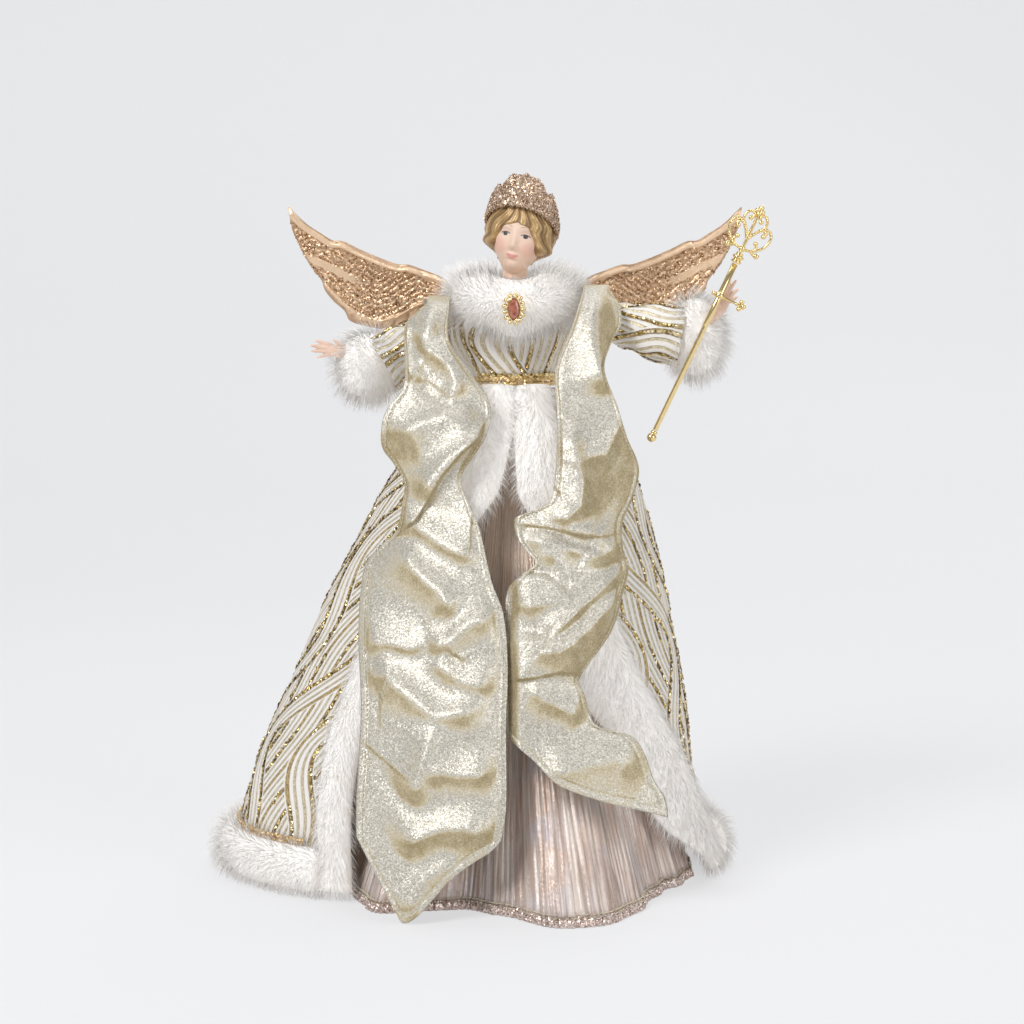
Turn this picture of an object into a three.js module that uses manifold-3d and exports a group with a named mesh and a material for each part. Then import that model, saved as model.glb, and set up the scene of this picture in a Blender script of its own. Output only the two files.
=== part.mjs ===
// Angel tree topper: a cone that slips over the top shoot of a tree, dressed with a pleated
// underskirt, a fur-trimmed coat and a metallic stole, with a cast head, hands and wings.
// Millimetres, +Z up, the figure faces -Y. "Right" and "left" are the figure's own sides, so
// the right arm is on -X. Each arm is posed by bending the wire at its shoulder.

import * as THREE from "three";
import { mergeVertices } from "three/addons/utils/BufferGeometryUtils.js";
import Module from "manifold-3d";

const wasm = await Module();
wasm.setup();

// Driving dimensions
const gap = 0.4;
const waistZ = 284;
const headCentre = new THREE.Vector3(2.4, -3, 371);
const headRoll = THREE.MathUtils.degToRad(10.8);
const headYaw = THREE.MathUtils.degToRad(-8);
const coneBaseRadius = 86;
const coneTopRadius = 13;
const coneTopZ = 270;
const coneWall = 2.2;
const clothWall = 1.6;
const shoulder = { x: 35, y: 5.6, z: 326 };
const wireRadius = 1.2;
const neckPost = {
  radius: 3,
  low: new THREE.Vector3(-2.6, 0.5, 308),
  high: new THREE.Vector3(-1.4, 0.4, 343),
};
const figureOffset = new THREE.Vector3(15.7, 5, 0);

const { sin, cos, sqrt, exp, abs, min, max, PI } = Math;
const vec = (x, y, z) => new THREE.Vector3(x, y, z);
const degrees = (angle) => (angle * PI) / 180;
const mix = (a, b, t) => a + (b - a) * t;
const bump = (x, centre, width) => exp(-(((x - centre) / width) ** 2));
const smooth = (t) => {
  const s = min(max(t, 0), 1);
  return s * s * (3 - 2 * s);
};

// A smooth curve through [position, value] stations, held level past both ends.
function profile(stations) {
  const at = stations.map((s) => s[0]);
  const value = stations.map((s) => s[1]);
  const last = at.length - 1;
  const slope = (i) => {
    const lo = max(i - 1, 0);
    const hi = min(i + 1, last);
    return (value[hi] - value[lo]) / (at[hi] - at[lo]);
  };
  return (x) => {
    if (x <= at[0]) return value[0];
    if (x >= at[last]) return value[last];
    let i = 0;
    while (x > at[i + 1]) i += 1;
    const span = at[i + 1] - at[i];
    const t = (x - at[i]) / span;
    const a = value[i];
    const b = value[i + 1];
    return (
      a * (1 + 2 * t) * (1 - t) ** 2 +
      b * t * t * (3 - 2 * t) +
      span * (slope(i) * t * (1 - t) ** 2 - slope(i + 1) * t * t * (1 - t))
    );
  };
}

// Closed bodies from points and faces

function bodyOf(points, faces) {
  const geometry = new THREE.BufferGeometry();
  geometry.setAttribute(
    "position",
    new THREE.Float32BufferAttribute(points.flatMap((p) => [p.x, p.y, p.z]), 3),
  );
  let volume = 0;
  const product = vec(0, 0, 0);
  for (const [a, b, c] of faces) {
    product.crossVectors(points[b], points[c]);
    volume += points[a].dot(product);
  }
  const outward = volume < 0 ? faces.map(([a, b, c]) => [a, c, b]) : faces;
  geometry.setIndex(outward.flat());
  return geometry;
}

// A solid through closed rings of points, capped at both ends.
function loft(rings) {
  const count = rings[0].length;
  const points = rings.flat();
  const faces = [];
  for (let r = 0; r < rings.length - 1; r += 1)
    for (let i = 0; i < count; i += 1) {
      const a = r * count + i;
      const b = r * count + ((i + 1) % count);
      faces.push([a, b, a + count], [b, b + count, a + count]);
    }
  for (const [start, turn] of [[0, 1], [(rings.length - 1) * count, -1]]) {
    const middle = points.length;
    const ring = points.slice(start, start + count);
    points.push(ring.reduce((sum, p) => sum.add(p), vec(0, 0, 0)).divideScalar(count));
    for (let i = 0; i < count; i += 1) {
      const a = start + i;
      const b = start + ((i + 1) % count);
      faces.push(turn > 0 ? [middle, b, a] : [middle, a, b]);
    }
  }
  return bodyOf(points, faces);
}

// A sheet between two surfaces over the same (u, v), each 0 to 1. A wrapped sheet closes on itself in u.
function sheet(outer, inner, columns, rows, wrapped = false) {
  const across = wrapped ? columns : columns + 1;
  const points = [];
  for (const surface of [outer, inner])
    for (let r = 0; r <= rows; r += 1)
      for (let c = 0; c < across; c += 1) points.push(surface(c / columns, r / rows));
  const at = (side, c, r) => (side * (rows + 1) + r) * across + (c % across);
  const faces = [];
  const quad = (a, b, c, d) => faces.push([a, b, c], [a, c, d]);
  for (let r = 0; r < rows; r += 1)
    for (let c = 0; c < columns; c += 1) {
      quad(at(0, c, r), at(0, c + 1, r), at(0, c + 1, r + 1), at(0, c, r + 1));
      quad(at(1, c, r), at(1, c, r + 1), at(1, c + 1, r + 1), at(1, c + 1, r));
    }
  for (let c = 0; c < columns; c += 1) {
    quad(at(0, c, 0), at(1, c, 0), at(1, c + 1, 0), at(0, c + 1, 0));
    quad(at(0, c, rows), at(0, c + 1, rows), at(1, c + 1, rows), at(1, c, rows));
  }
  if (!wrapped)
    for (let r = 0; r < rows; r += 1) {
      quad(at(0, 0, r), at(0, 0, r + 1), at(1, 0, r + 1), at(1, 0, r));
      quad(at(0, columns, r), at(1, columns, r), at(1, columns, r + 1), at(0, columns, r + 1));
    }
  return bodyOf(points, faces);
}

// An ellipse of points round a centre, in the plane of two half-axis vectors.
function ellipse(centre, halfA, halfB, count) {
  return Array.from({ length: count }, (_, i) => {
    const angle = (2 * PI * i) / count;
    return centre.clone().addScaledVector(halfA, cos(angle)).addScaledVector(halfB, sin(angle));
  });
}

// A round limb of changing radius along points, with rounded ends. flat squeezes it along one side.
function limb(points, radiusAt, steps, sides, flat = 1) {
  const curve = new THREE.CatmullRomCurve3(points);
  const frames = curve.computeFrenetFrames(steps, false);
  const rings = [];
  for (let i = 0; i <= steps; i += 1) {
    const t = i / steps;
    const r = radiusAt(t);
    const a = frames.normals[i].clone().multiplyScalar(r * flat);
    const b = frames.binormals[i].clone().multiplyScalar(r);
    rings.push(ellipse(curve.getPoint(t), a, b, sides));
  }
  return loft(rings);
}

// A wire of one thickness along a curve.
function wire(points, radius, steps, sides) {
  const outline = new THREE.Shape(
    Array.from({ length: sides }, (_, i) => {
      const angle = (2 * PI * i) / sides;
      return new THREE.Vector2(radius * cos(angle), radius * sin(angle));
    }),
  );
  return new THREE.ExtrudeGeometry(outline, {
    steps,
    bevelEnabled: false,
    extrudePath: new THREE.CatmullRomCurve3(points),
  });
}

function lathe(outline, segments) {
  const points = outline.map(([r, z]) => new THREE.Vector2(r, z));
  const geometry = new THREE.LatheGeometry(points, segments);
  geometry.rotateX(PI / 2);
  return geometry;
}

function solidOf(geometry) {
  const bare = geometry.clone();
  bare.deleteAttribute("normal");
  bare.deleteAttribute("uv");
  const merged = mergeVertices(bare, 1e-4);
  const mesh = new wasm.Mesh({
    numProp: 3,
    vertProperties: merged.attributes.position.array,
    triVerts: new Uint32Array(merged.index.array),
  });
  return new wasm.Manifold(mesh);
}

function geometryOf(solid) {
  const mesh = solid.getMesh();
  const geometry = new THREE.BufferGeometry();
  const position = new THREE.BufferAttribute(new Float32Array(mesh.vertProperties), 3);
  geometry.setAttribute("position", position);
  geometry.setIndex(new THREE.BufferAttribute(new Uint32Array(mesh.triVerts), 1));
  return geometry;
}

const join = (...parts) => geometryOf(parts.map(solidOf).reduce((a, b) => a.add(b)));
const cut = (body, ...tools) =>
  geometryOf(tools.map(solidOf).reduce((a, b) => a.subtract(b), solidOf(body)));

// The cone inside, a stiff paper shell that is open below for the tree's top shoot.
function supportCone() {
  const inside = (z) => mix(coneBaseRadius - coneWall, coneTopRadius - coneWall, z / coneTopZ);
  const segments = 32;
  return lathe(
    [
      [inside(0), 0],
      [coneBaseRadius, 0],
      [coneTopRadius, coneTopZ],
      [inside(coneTopZ), coneTopZ],
      [inside(0), 0],
    ],
    segments,
  );
}

// Underskirt: pleated foil cloth whose hem swings out in deep folds at the front
const underskirt = { hem: 104, top: 20.5, pleats: 26, pleatDepth: 2.6, levels: [0, 5.5, 90, 180, 281] };
const hemFolds = [
  { at: -72, out: 40, width: 21 },
  { at: -80, out: 8, width: 8 },
  { at: -125, out: 29, width: 12 },
  { at: -146, out: 10, width: 15 },
  { at: -20, out: 3.5, width: 12 },
];

function underskirtRadius(angle, z) {
  const drop = 1 - z / underskirt.levels.at(-1);
  const turn = THREE.MathUtils.radToDeg(angle);
  const folds = hemFolds.reduce((sum, f) => sum + f.out * bump(turn, f.at, f.width), 0);
  return mix(underskirt.top, underskirt.hem, drop) + folds * drop ** 1.7;
}

function pleatedPoint(u, z, out) {
  const angle = 2 * PI * u - PI;
  const crease = 0.5 - 0.5 * cos(2 * PI * u * underskirt.pleats);
  const depth = underskirt.pleatDepth * mix(1, 0.35, z / underskirt.levels.at(-1));
  const r = underskirtRadius(angle, z) + out - depth * crease;
  return vec(r * cos(angle), r * sin(angle), z);
}

function underskirtShell() {
  const rows = underskirt.levels.length - 1;
  const point = (out) => (u, v) => pleatedPoint(u, underskirt.levels[Math.round(v * rows)], out);
  return sheet(point(0), point(-clothWall), underskirt.pleats * 2, rows, true);
}

// The glitter tape sewn round the outside of the underskirt's hem, pleated with it.
function underskirtHem() {
  const [, high] = underskirt.levels;
  const point = (out) => (u, v) => pleatedPoint(u, mix(0.6, high, v), out);
  return sheet(point(gap + 1.2), point(gap + 0.1), underskirt.pleats * 2, 1, true);
}

// Coat: how far its cloth stands from the middle on four sides, by height
const coat = { levels: [4, 60, 120, 180, 236, 262, 283.4], flutes: 9, fluteDepth: 2 };
const coatSides = {
  east: profile([
    [4, 117], [30, 110], [58, 104.5], [100, 100], [147, 92],
    [188, 83], [230, 71], [252, 56], [270, 37], [284, 23],
  ]),
  north: profile([
    [4, 120], [58, 110], [100, 100], [147, 88], [188, 76], [230, 62], [252, 50], [270, 36], [284, 22],
  ]),
  west: profile([
    [4, 164], [37, 160], [73, 149], [111, 132], [153, 114], [186, 97], [238, 68], [262, 45], [284, 23],
  ]),
  south: profile([[4, 100], [60, 96], [124, 89], [186, 76], [230, 62], [252, 50], [270, 35], [284, 21]]),
};
// Where the open front ends on each side, in degrees round from +X, by height.
const openEast = profile([[0, -7], [60, -28], [124, -55], [180, -69], [240, -79], [284, -86]]);
const openWest = profile([[0, -138], [60, -140], [100, -138], [180, -125], [240, -106], [284, -94]]);

function coatRadius(angle, z) {
  const alongX = cos(angle) >= 0 ? coatSides.east(z) : coatSides.west(z);
  const alongY = sin(angle) >= 0 ? coatSides.north(z) : coatSides.south(z);
  const round = 1 / sqrt((cos(angle) / alongX) ** 2 + (sin(angle) / alongY) ** 2);
  const depth = coat.fluteDepth * smooth(1 - z / 200) * smooth((abs(angle - PI / 2) - 2) * -1);
  return round + depth * sin(coat.flutes * angle);
}

const coatPoint = (angle, z, out = 0) => {
  const r = coatRadius(angle, z) + out;
  return vec(r * cos(angle), r * sin(angle), z);
};

// The angle at a share of the way round, from the open front's east edge to its west edge.
const coatAngle = (share, z) => degrees(mix(openEast(z), openWest(z) + 360, share));

function coatShell() {
  const rows = coat.levels.length - 1;
  const point = (inset) => (u, v) => {
    const z = coat.levels[Math.round(v * rows)];
    return coatPoint(coatAngle(u, z), z, -inset);
  };
  return sheet(point(0), point(clothWall), 28, rows);
}

// The coat's outward direction at a point of it.
function coatNormal(angle, z) {
  const here = coatPoint(angle, z);
  const round = coatPoint(angle + 0.02, z).sub(here);
  const up = coatPoint(angle, z + 2).sub(here);
  return round.cross(up).normalize();
}

const padLift = 1.6;

// A pad sewn on the coat's face: place gives its angle and height at a share along it and across it.
function coatPad({ place, thickness, steps, sides = 7, square = 0.8 }) {
  const rings = [];
  for (let i = 0; i <= steps; i += 1) {
    const t = i / steps;
    const at = (s, rise) => {
      const [angle, z] = place(t, s);
      return coatPoint(angle, z).addScaledVector(coatNormal(angle, z), rise);
    };
    const front = Array.from({ length: sides }, (_, k) => {
      const a = (PI * k) / (sides - 1);
      return at(cos(a), padLift + thickness(t) * sin(a) ** square);
    });
    const back = [-0.5, 0, 0.5].map((s) => at(s, padLift));
    rings.push([...front, ...back]);
  }
  return loft(rings);
}

// Fur strips down both edges of the open front.
const frontFur = { topZ: 279, bottomZ: 5, halfWidth: 12, thickness: 13 };

function frontFurStrip(side) {
  const edge = side === "east" ? openEast : openWest;
  const inward = side === "east" ? 1 : -1;
  const swell = (t) => mix(0.55, 1, smooth(t * 6));
  const place = (t, s) => {
    const z = mix(frontFur.topZ, frontFur.bottomZ, t);
    const r = coatRadius(degrees(edge(z)), z);
    const inset = frontFur.halfWidth * swell(t) * (0.9 + s);
    return [degrees(edge(z)) + (inward * inset) / r, z];
  };
  return coatPad({ place, thickness: (t) => frontFur.thickness * swell(t), steps: 12 });
}

const hemFur = { low: 1.5, high: 26, thickness: 12.5, startShare: 0.072, endShare: 0.942 };

function hemFurStrip() {
  const middle = (hemFur.low + hemFur.high) / 2;
  const half = (hemFur.high - hemFur.low) / 2;
  const place = (t, s) => [coatAngle(mix(hemFur.startShare, hemFur.endShare, t), middle), middle + half * s];
  return coatPad({ place, thickness: () => hemFur.thickness, steps: 22, sides: 6 });
}

// The gold braid that covers the seam above the hem fur.
function hemBraid() {
  const z = hemFur.high + 4;
  const place = (t, s) => [coatAngle(mix(0.075, 0.93, t), z), z + 2.2 * s];
  return coatPad({ place, thickness: () => 1.4, steps: 22, sides: 3, square: 1 });
}

// Body: a stuffed core on the cone, in a tight bodice. Rings are [height, half-width, half-depth].
const bodiceRings = [
  [waistZ + 1, 20.6, 16.6],
  [301, 25.5, 18.2],
  [314, 31, 20],
  [325, 34, 20.2],
  [332, 31, 18],
  [336, 22, 14.5],
];
const bodiceWall = 1.4;
const bodySides = 18;

const bodyRing = ([z, halfWidth, halfDepth], inset) =>
  ellipse(vec(0, 0, z), vec(halfWidth - inset, 0, 0), vec(0, halfDepth - inset, 0), bodySides);

// A round bar from one point to another.
const bar = (from, to, radius, sides = 10) => wire([from, from.clone().lerp(to, 0.5), to], radius, 1, sides);

const shoulderBar = (from, to, radius) =>
  bar(vec(from, shoulder.y, shoulder.z), vec(to, shoulder.y, shoulder.z), radius, 8);

function bodiceShell() {
  const rows = bodiceRings.length - 1;
  const rings = [0, bodiceWall].map((inset) => bodiceRings.map((ring) => bodyRing(ring, inset)));
  const point = (layer) => (u, v) => {
    const ring = rings[layer][Math.round(v * rows)];
    return ring[Math.round(u * bodySides) % bodySides].clone();
  };
  const wireHoles = [-1, 1].map((side) => shoulderBar(side * 24, side * 40, wireRadius + gap));
  return cut(sheet(point(0), point(1), bodySides, rows, true), ...wireHoles);
}

function torsoCore() {
  const plug = coneTopRadius - coneWall - gap;
  const flange = underskirt.top - clothWall - underskirt.pleatDepth * 0.35 - gap;
  const inside = bodiceWall + gap;
  const core = loft([
    bodyRing([250, plug - 2, plug - 2], 0),
    bodyRing([coneTopZ + gap, plug, plug], 0),
    bodyRing([coneTopZ + gap, flange, flange], 0),
    bodyRing([waistZ, flange, flange], 0),
    ...bodiceRings.slice(0, 5).map((ring) => bodyRing(ring, inside)),
    bodyRing([333.4, 19, 12], 0),
  ]);
  return cut(core, shoulderBar(-40, 40, wireRadius + gap), neckBar(gap));
}

// The dowel that holds the head on the body; with room, the bore that it sits in.
function neckBar(room = 0) {
  const { low, high, radius } = neckPost;
  const past = high.clone().sub(low).setLength(2 * room);
  return bar(low.clone().sub(past), high.clone().add(past), radius + room, 10);
}

// The sequin belt over the waist seam.
function belt() {
  const beltHeight = 7.6;
  const point = (out) => (u, v) => {
    const angle = 2 * PI * u;
    const grow = out + mix(0, 1.6, v);
    return vec((20.9 + grow) * cos(angle), (16.9 + grow) * sin(angle), waistZ + 1 + v * beltHeight);
  };
  return sheet(point(gap + 1.4), point(gap), 24, 1, true);
}

// Head: one casting of neck, face and skull. Local frame: z up the head, -y forward
const headMatrix = new THREE.Matrix4().compose(
  headCentre,
  new THREE.Quaternion().setFromEuler(new THREE.Euler(0, headRoll, headYaw, "YXZ")),
  new THREE.Vector3(1, 1, 1),
);
const tiltHead = (geometry) => geometry.applyMatrix4(headMatrix);
const intoHead = (geometry) => geometry.applyMatrix4(headMatrix.clone().invert());
const skull = { low: -22.3, high: 25, halfWidth: 15.6, halfDepth: 17.4 };

function headPoint(turn, rise, grow = 0) {
  const z = mix(skull.low, skull.high, rise);
  const middleZ = (skull.low + skull.high) / 2;
  const round = sqrt(max(0, 1 - ((z - middleZ) / (skull.high - middleZ)) ** 2));
  const jaw = 1 - 0.3 * smooth((-3 - z) / 18);
  const x = skull.halfWidth * round ** 0.8 * jaw * cos(turn);
  const depth = skull.halfDepth * round ** 0.75 * (1 - 0.14 * smooth((-6 - z) / 16));
  const facing = max(0, -sin(turn)) ** 2;
  const nose = exp(-((x / 2.3) ** 2)) * (3.1 * bump(z, -6, 3.4) + 1.1 * bump(z, -1, 4));
  const lips = 0.9 * exp(-((x / 4.2) ** 2)) * bump(z, -11.6, 2);
  const chin = 1.4 * exp(-((x / 4.5) ** 2)) * bump(z, -18.4, 3.2);
  const sockets = -1.4 * (bump(x, -6, 3.3) + bump(x, 6, 3.3)) * bump(z, 0.2, 2.6);
  const cheeks = 0.7 * (bump(x, -8, 4) + bump(x, 8, 4)) * bump(z, -7, 4.5);
  const out = (nose + lips + chin + sockets + cheeks) * facing;
  return vec(x + grow * cos(turn), depth * sin(turn) - out + grow * sin(turn), z + grow * (rise - 0.5));
}

function headSkull(grow = 0) {
  const rows = 14;
  const count = 18;
  const ring = (rise) => Array.from({ length: count }, (_, i) => headPoint((2 * PI * i) / count, rise, grow));
  return loft(Array.from({ length: rows + 1 }, (_, r) => ring(mix(0.012, 0.992, r / rows))));
}

// The neck leans so that it stands upright under the tilted head.
const neckLine = [vec(2.2, 3.5, -34), vec(1, 3, -24), vec(0, 3, -12)];
const neck = (grow) => limb(neckLine, (t) => mix(8, 6.8, t) + grow, 4, 14);

function headCasting() {
  return cut(join(headSkull(), neck(0)), intoHead(neckBar(gap)));
}

// Hair: waved, full over the ears and drawn in at the nape, open round the face.
const hair = { low: -16.5, high: 27.5, halfWidth: 20, halfDepth: 20.9 };

function hairPoint(turn, rise, grow = 0) {
  const z = mix(hair.low, hair.high, rise);
  const round = sqrt(max(0, 1 - ((z - 2.5) / 25.2) ** 2));
  const full = 1 + 0.06 * bump(z, -3, 7) - 0.2 * smooth((-6 - z) / 9);
  const wave = 0.5 * sin(z * 0.75 + 2.2 * cos(2 * turn)) + 0.4 * sin(turn * 9 + z * 0.35);
  const rx = hair.halfWidth * round ** 0.65 * full + wave + grow;
  const ry = hair.halfDepth * round ** 0.65 * full + wave + grow;
  return vec(rx * cos(turn), 2.5 + ry * sin(turn), z + grow * (rise - 0.5));
}

function hairMass(grow = 0) {
  const rows = 8;
  const count = 20;
  const ring = (rise) => Array.from({ length: count }, (_, i) => hairPoint((2 * PI * i) / count, rise, grow));
  return loft(Array.from({ length: rows + 1 }, (_, r) => ring(mix(0.02, 0.985, r / rows))));
}

function hairCasting() {
  const faceOpening = new THREE.SphereGeometry(1, 18, 10);
  faceOpening.scale(14, 22, 15.5);
  faceOpening.translate(0, -18, -9);
  return cut(hairMass(), headSkull(0.45), faceOpening, neck(0.6));
}

// Crown: a tall tiara round the front of the hair, with a peak, shoulders and a knob on each side.
// Its edges are heights in the head's frame by degrees from its middle.
const crown = { sweep: 108, radius: 20.4, wall: 1.5 };
const crownLow = profile([[0, 16.8], [20, 16], [40, 13.8], [60, 10.4], [80, 6.6], [95, 3.4], [108, 1.5]]);
const crownTop = profile([
  [0, 35.8], [5, 34.6], [10, 34], [22, 33.9], [28, 32.2], [34, 29.6], [41, 26], [46, 25.9],
  [50, 27.1], [54, 25.8], [60, 22.4], [68, 19.6], [80, 14], [95, 8.6], [108, 4.5],
]);

function crownPlate() {
  const columns = 44;
  const point = (out) => (u, v) => {
    const turn = mix(-crown.sweep, crown.sweep, u);
    const angle = degrees(turn - 90);
    const z = mix(crownLow(abs(turn)), crownTop(abs(turn)), v);
    const lean = 1.2 * smooth((z - 22) / 14) - 0.6 * bump(z, 8, 6);
    const rx = crown.radius - lean + out;
    return vec(rx * cos(angle), 2.5 + (rx + 0.9) * sin(angle), z);
  };
  return sheet(point(crown.wall), point(0), columns, 3);
}

const crownCasting = () => cut(crownPlate(), hairMass(0.5));

// Collar: a full fur ring on the shoulders round the neck, deeper in front than behind.
function collarRing() {
  const around = 20;
  const sides = 8;
  const rings = Array.from({ length: around }, (_, i) => {
    const angle = (2 * PI * i) / around;
    const front = 0.5 - 0.5 * sin(angle);
    const centre = vec(25 * cos(angle), -1 + 18.5 * sin(angle) - 3 * front, mix(338, 329.5, front));
    const outward = vec(cos(angle), sin(angle), -0.25 * front).multiplyScalar(mix(9, 16, front ** 0.6));
    const up = vec(0.25 * cos(angle), 0.1 * sin(angle), 1).multiplyScalar(mix(11, 22.5, front ** 1.9));
    return ellipse(centre, outward, up, sides);
  });
  const faces = [];
  for (let r = 0; r < around; r += 1)
    for (let i = 0; i < sides; i += 1) {
      const next = (r + 1) % around;
      const j = (i + 1) % sides;
      const [a, b, c, d] = [r * sides + i, r * sides + j, next * sides + j, next * sides + i];
      faces.push([a, b, c], [a, c, d]);
    }
  return bodyOf(rings.flat(), faces);
}

function furCollar() {
  const bodyRoom = loft([
    bodyRing([280, 22, 18], 0),
    ...bodiceRings.map((ring) => bodyRing(ring, -gap - 0.2)),
    bodyRing([342, 8, 10], 0),
  ]);
  const wireRoom = shoulderBar(-shoulder.x, shoulder.x, wireRadius + gap);
  const headRooms = [neck(0.8), headSkull(0.9), hairMass(0.9)].map(tiltHead);
  const pinRoom = bar(brooch.place, brooch.place.clone().add(vec(0, brooch.pin + 3, 0)), 1.3, 8);
  return cut(collarRing(), bodyRoom, ...headRooms, pinRoom, wireRoom);
}

// Brooch: an oval cut stone in a setting with a ring of small stones, on a pin.
const brooch = { place: vec(-0.6, -42.5, 330), plate: 1.6, halfWidth: 5.2, halfHeight: 8, pin: 11 };

function broochSetting() {
  const plate = new THREE.CylinderGeometry(1, 1, brooch.plate, 16);
  plate.scale(brooch.halfWidth, 1, brooch.halfHeight);
  const count = 10;
  const beads = Array.from({ length: count }, (_, i) => {
    const angle = (2 * PI * (i + 0.5)) / count;
    const bead = new THREE.OctahedronGeometry(1.7, 0);
    return bead.translate(brooch.halfWidth * cos(angle), -0.4, brooch.halfHeight * sin(angle));
  });
  return join(plate, bar(vec(0, 0.4, 0), vec(0, brooch.pin, 0), 0.8, 6), ...beads);
}

function broochStone() {
  const facets = [[-2.9, 0.45], [-2.2, 0.8], [-1.6, 1], [-brooch.plate / 2 - gap, 0.9]];
  const facet = ([y, share]) => ellipse(vec(0, y, 0), vec(3.1 * share, 0, 0), vec(0, 0, 6 * share), 10);
  return loft(facets.map(facet));
}

// Wings: one casting each, modelled on both faces. Its lines run from the root out to the tip, and each
// is a height by distance out. From the front edge back they bound a round rim, a field of long feathers
// with a flat quill across it, a second rim along the feathers' ends, and a fringe of short feathers.
const wing = { y: 31, root: 38, tip: 134.4, bow: 9, sweep: 6, core: 0.6, backRelief: 0.7, columns: 24 };
const wingLines = {
  front: profile([
    [38, 342], [43, 347], [54, 351.4], [66, 354.7], [79, 358],
    [93, 364], [104, 368.6], [115, 373], [124, 379], [134.4, 388.4],
  ]),
  rim: profile([
    [38, 338.4], [45, 343], [58, 347.6], [68, 349.3], [78.3, 351.3],
    [88.6, 356.4], [95.4, 360], [109, 363.4], [118.6, 368.7], [126.3, 375.8], [134.4, 388],
  ]),
  quill: profile([[38, 338], [60, 341], [86, 344], [97, 347], [112, 354.2], [124, 361], [134.4, 387.8]]),
  ends: profile([
    [38, 337.4], [51, 333.4], [59.4, 329.9], [69.7, 323.7], [80, 321.1],
    [88.6, 322.9], [95.4, 326.4], [102.3, 331.7], [109, 338.7], [118, 350], [134.4, 387.6],
  ]),
  back: profile([
    [38, 336], [46, 327], [54, 320.5], [62, 317], [70, 315.6], [80, 316.4], [90, 318.4], [98.4, 321.5],
    [101.3, 327], [108, 333], [113.1, 339.6], [114.8, 344.9], [120, 352], [131.7, 374.9], [134.4, 387],
  ]),
};
// Each row of the casting lies beside one of the lines, by an offset, and rises from the casting's core.
const wingRows = [
  { line: "front", offset: 0, rise: 0.5 },
  { line: "front", offset: -2, rise: 2.9 },
  { line: "rim", offset: 0.8, rise: 2.2 },
  { line: "rim", offset: -0.6, rise: 0.7 },
  { line: "quill", offset: 0.6, rise: 1.8 },
  { line: "quill", offset: -1.6, rise: 1.1 },
  { line: "ends", offset: 1.8, rise: 0.8 },
  { line: "ends", offset: 0, rise: 2.3 },
  { line: "ends", offset: -1.6, rise: 0.7 },
  { line: "back", offset: 1.2, rise: 1.3, fringe: 0.7 },
  { line: "back", offset: 0, rise: 0.4 },
];

// The shares of the way from the front edge to the back edge at which the rows lie, kept in their order.
function wingShares(x) {
  const front = wingLines.front(x);
  const depth = front - wingLines.back(x);
  const last = wingRows.length - 1;
  const least = 0.03;
  const shares = [];
  wingRows.forEach(({ line, offset }, i) => {
    const wanted = (front - wingLines[line](x) - offset) / depth;
    const low = i === 0 ? 0 : shares[i - 1] + least;
    shares.push(i === last ? 1 : min(max(wanted, low), 1 - least * (last - i)));
  });
  return shares;
}

function wingFace(facing) {
  return (u, v) => {
    const x = mix(wing.root, wing.tip, u);
    const row = Math.round(v * (wingRows.length - 1));
    const { rise, fringe = 0 } = wingRows[row];
    const share = wingShares(x)[row];
    const z = mix(wingLines.front(x), wingLines.back(x), share);
    const bow = wing.bow * smooth((x - 40) / 95) ** 1.3;
    const sweep = wing.sweep * share * smooth(u * 4) * (1 - u);
    const barb = Math.round(u * wing.columns) % 2 === 0 ? fringe : 0;
    const relief = (rise + barb) * smooth((1 - u) * 6 + 0.15) * (facing > 0 ? 1 : wing.backRelief);
    return vec(x, wing.y + bow + sweep - facing * (wing.core + relief), z);
  };
}

function wingCasting(side) {
  const feathers = sheet(wingFace(1), wingFace(-1), wing.columns, wingRows.length - 1);
  const bossLine = [vec(23, 34, 330), vec(32, 34, 332), vec(45, 33.5, 337)];
  const boss = limb(bossLine, (t) => mix(6, 8.5, t), 3, 8, 0.6);
  const screwRoom = bar(vec(strap.reach, 28, strap.z), vec(strap.reach, 44, strap.z), strap.screw + gap, 8);
  const casting = cut(join(feathers, boss), screwRoom);
  if (side > 0) return casting;
  const mirrored = casting.clone().scale(-1, 1, 1);
  const corners = Array.from(mirrored.index.array);
  mirrored.setIndex(corners.map((_, i) => corners[i - (i % 3) + 2 - (i % 3)]));
  return mirrored;
}

// The strap that joins the wings behind the back, and its two screws.
const strap = { z: 330.5, reach: 30, y: 39.4, thickness: 1.5, halfWidth: 5, screw: 1.1, shank: 7 };

function wingStrap() {
  const { reach, halfWidth } = strap;
  const outline = new THREE.Shape();
  outline.moveTo(-reach, -halfWidth);
  outline.lineTo(reach, -halfWidth);
  outline.absarc(reach, 0, halfWidth, -PI / 2, PI / 2);
  outline.lineTo(-reach, halfWidth);
  outline.absarc(-reach, 0, halfWidth, PI / 2, (3 * PI) / 2);
  for (const side of [-1, 1]) {
    const hole = new THREE.Path();
    hole.absarc(side * reach, 0, strap.screw + gap, 0, 2 * PI, true);
    outline.holes.push(hole);
  }
  const options = { depth: strap.thickness, bevelEnabled: false, curveSegments: 5 };
  const plate = new THREE.ExtrudeGeometry(outline, options);
  plate.rotateX(PI / 2);
  return plate.translate(0, strap.y + strap.thickness, strap.z);
}

function strapScrew(side) {
  const { screw: radius, shank } = strap;
  const top = [[2.8, shank], [2.2, shank + 1.4], [0, shank + 1.6]];
  const screw = lathe([[0, 0], [radius, 0], [radius, shank], ...top, [0, 0]], 10);
  screw.rotateX(-PI / 2);
  return screw.translate(side * strap.reach, strap.y + strap.thickness + gap - shank, strap.z);
}

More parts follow.
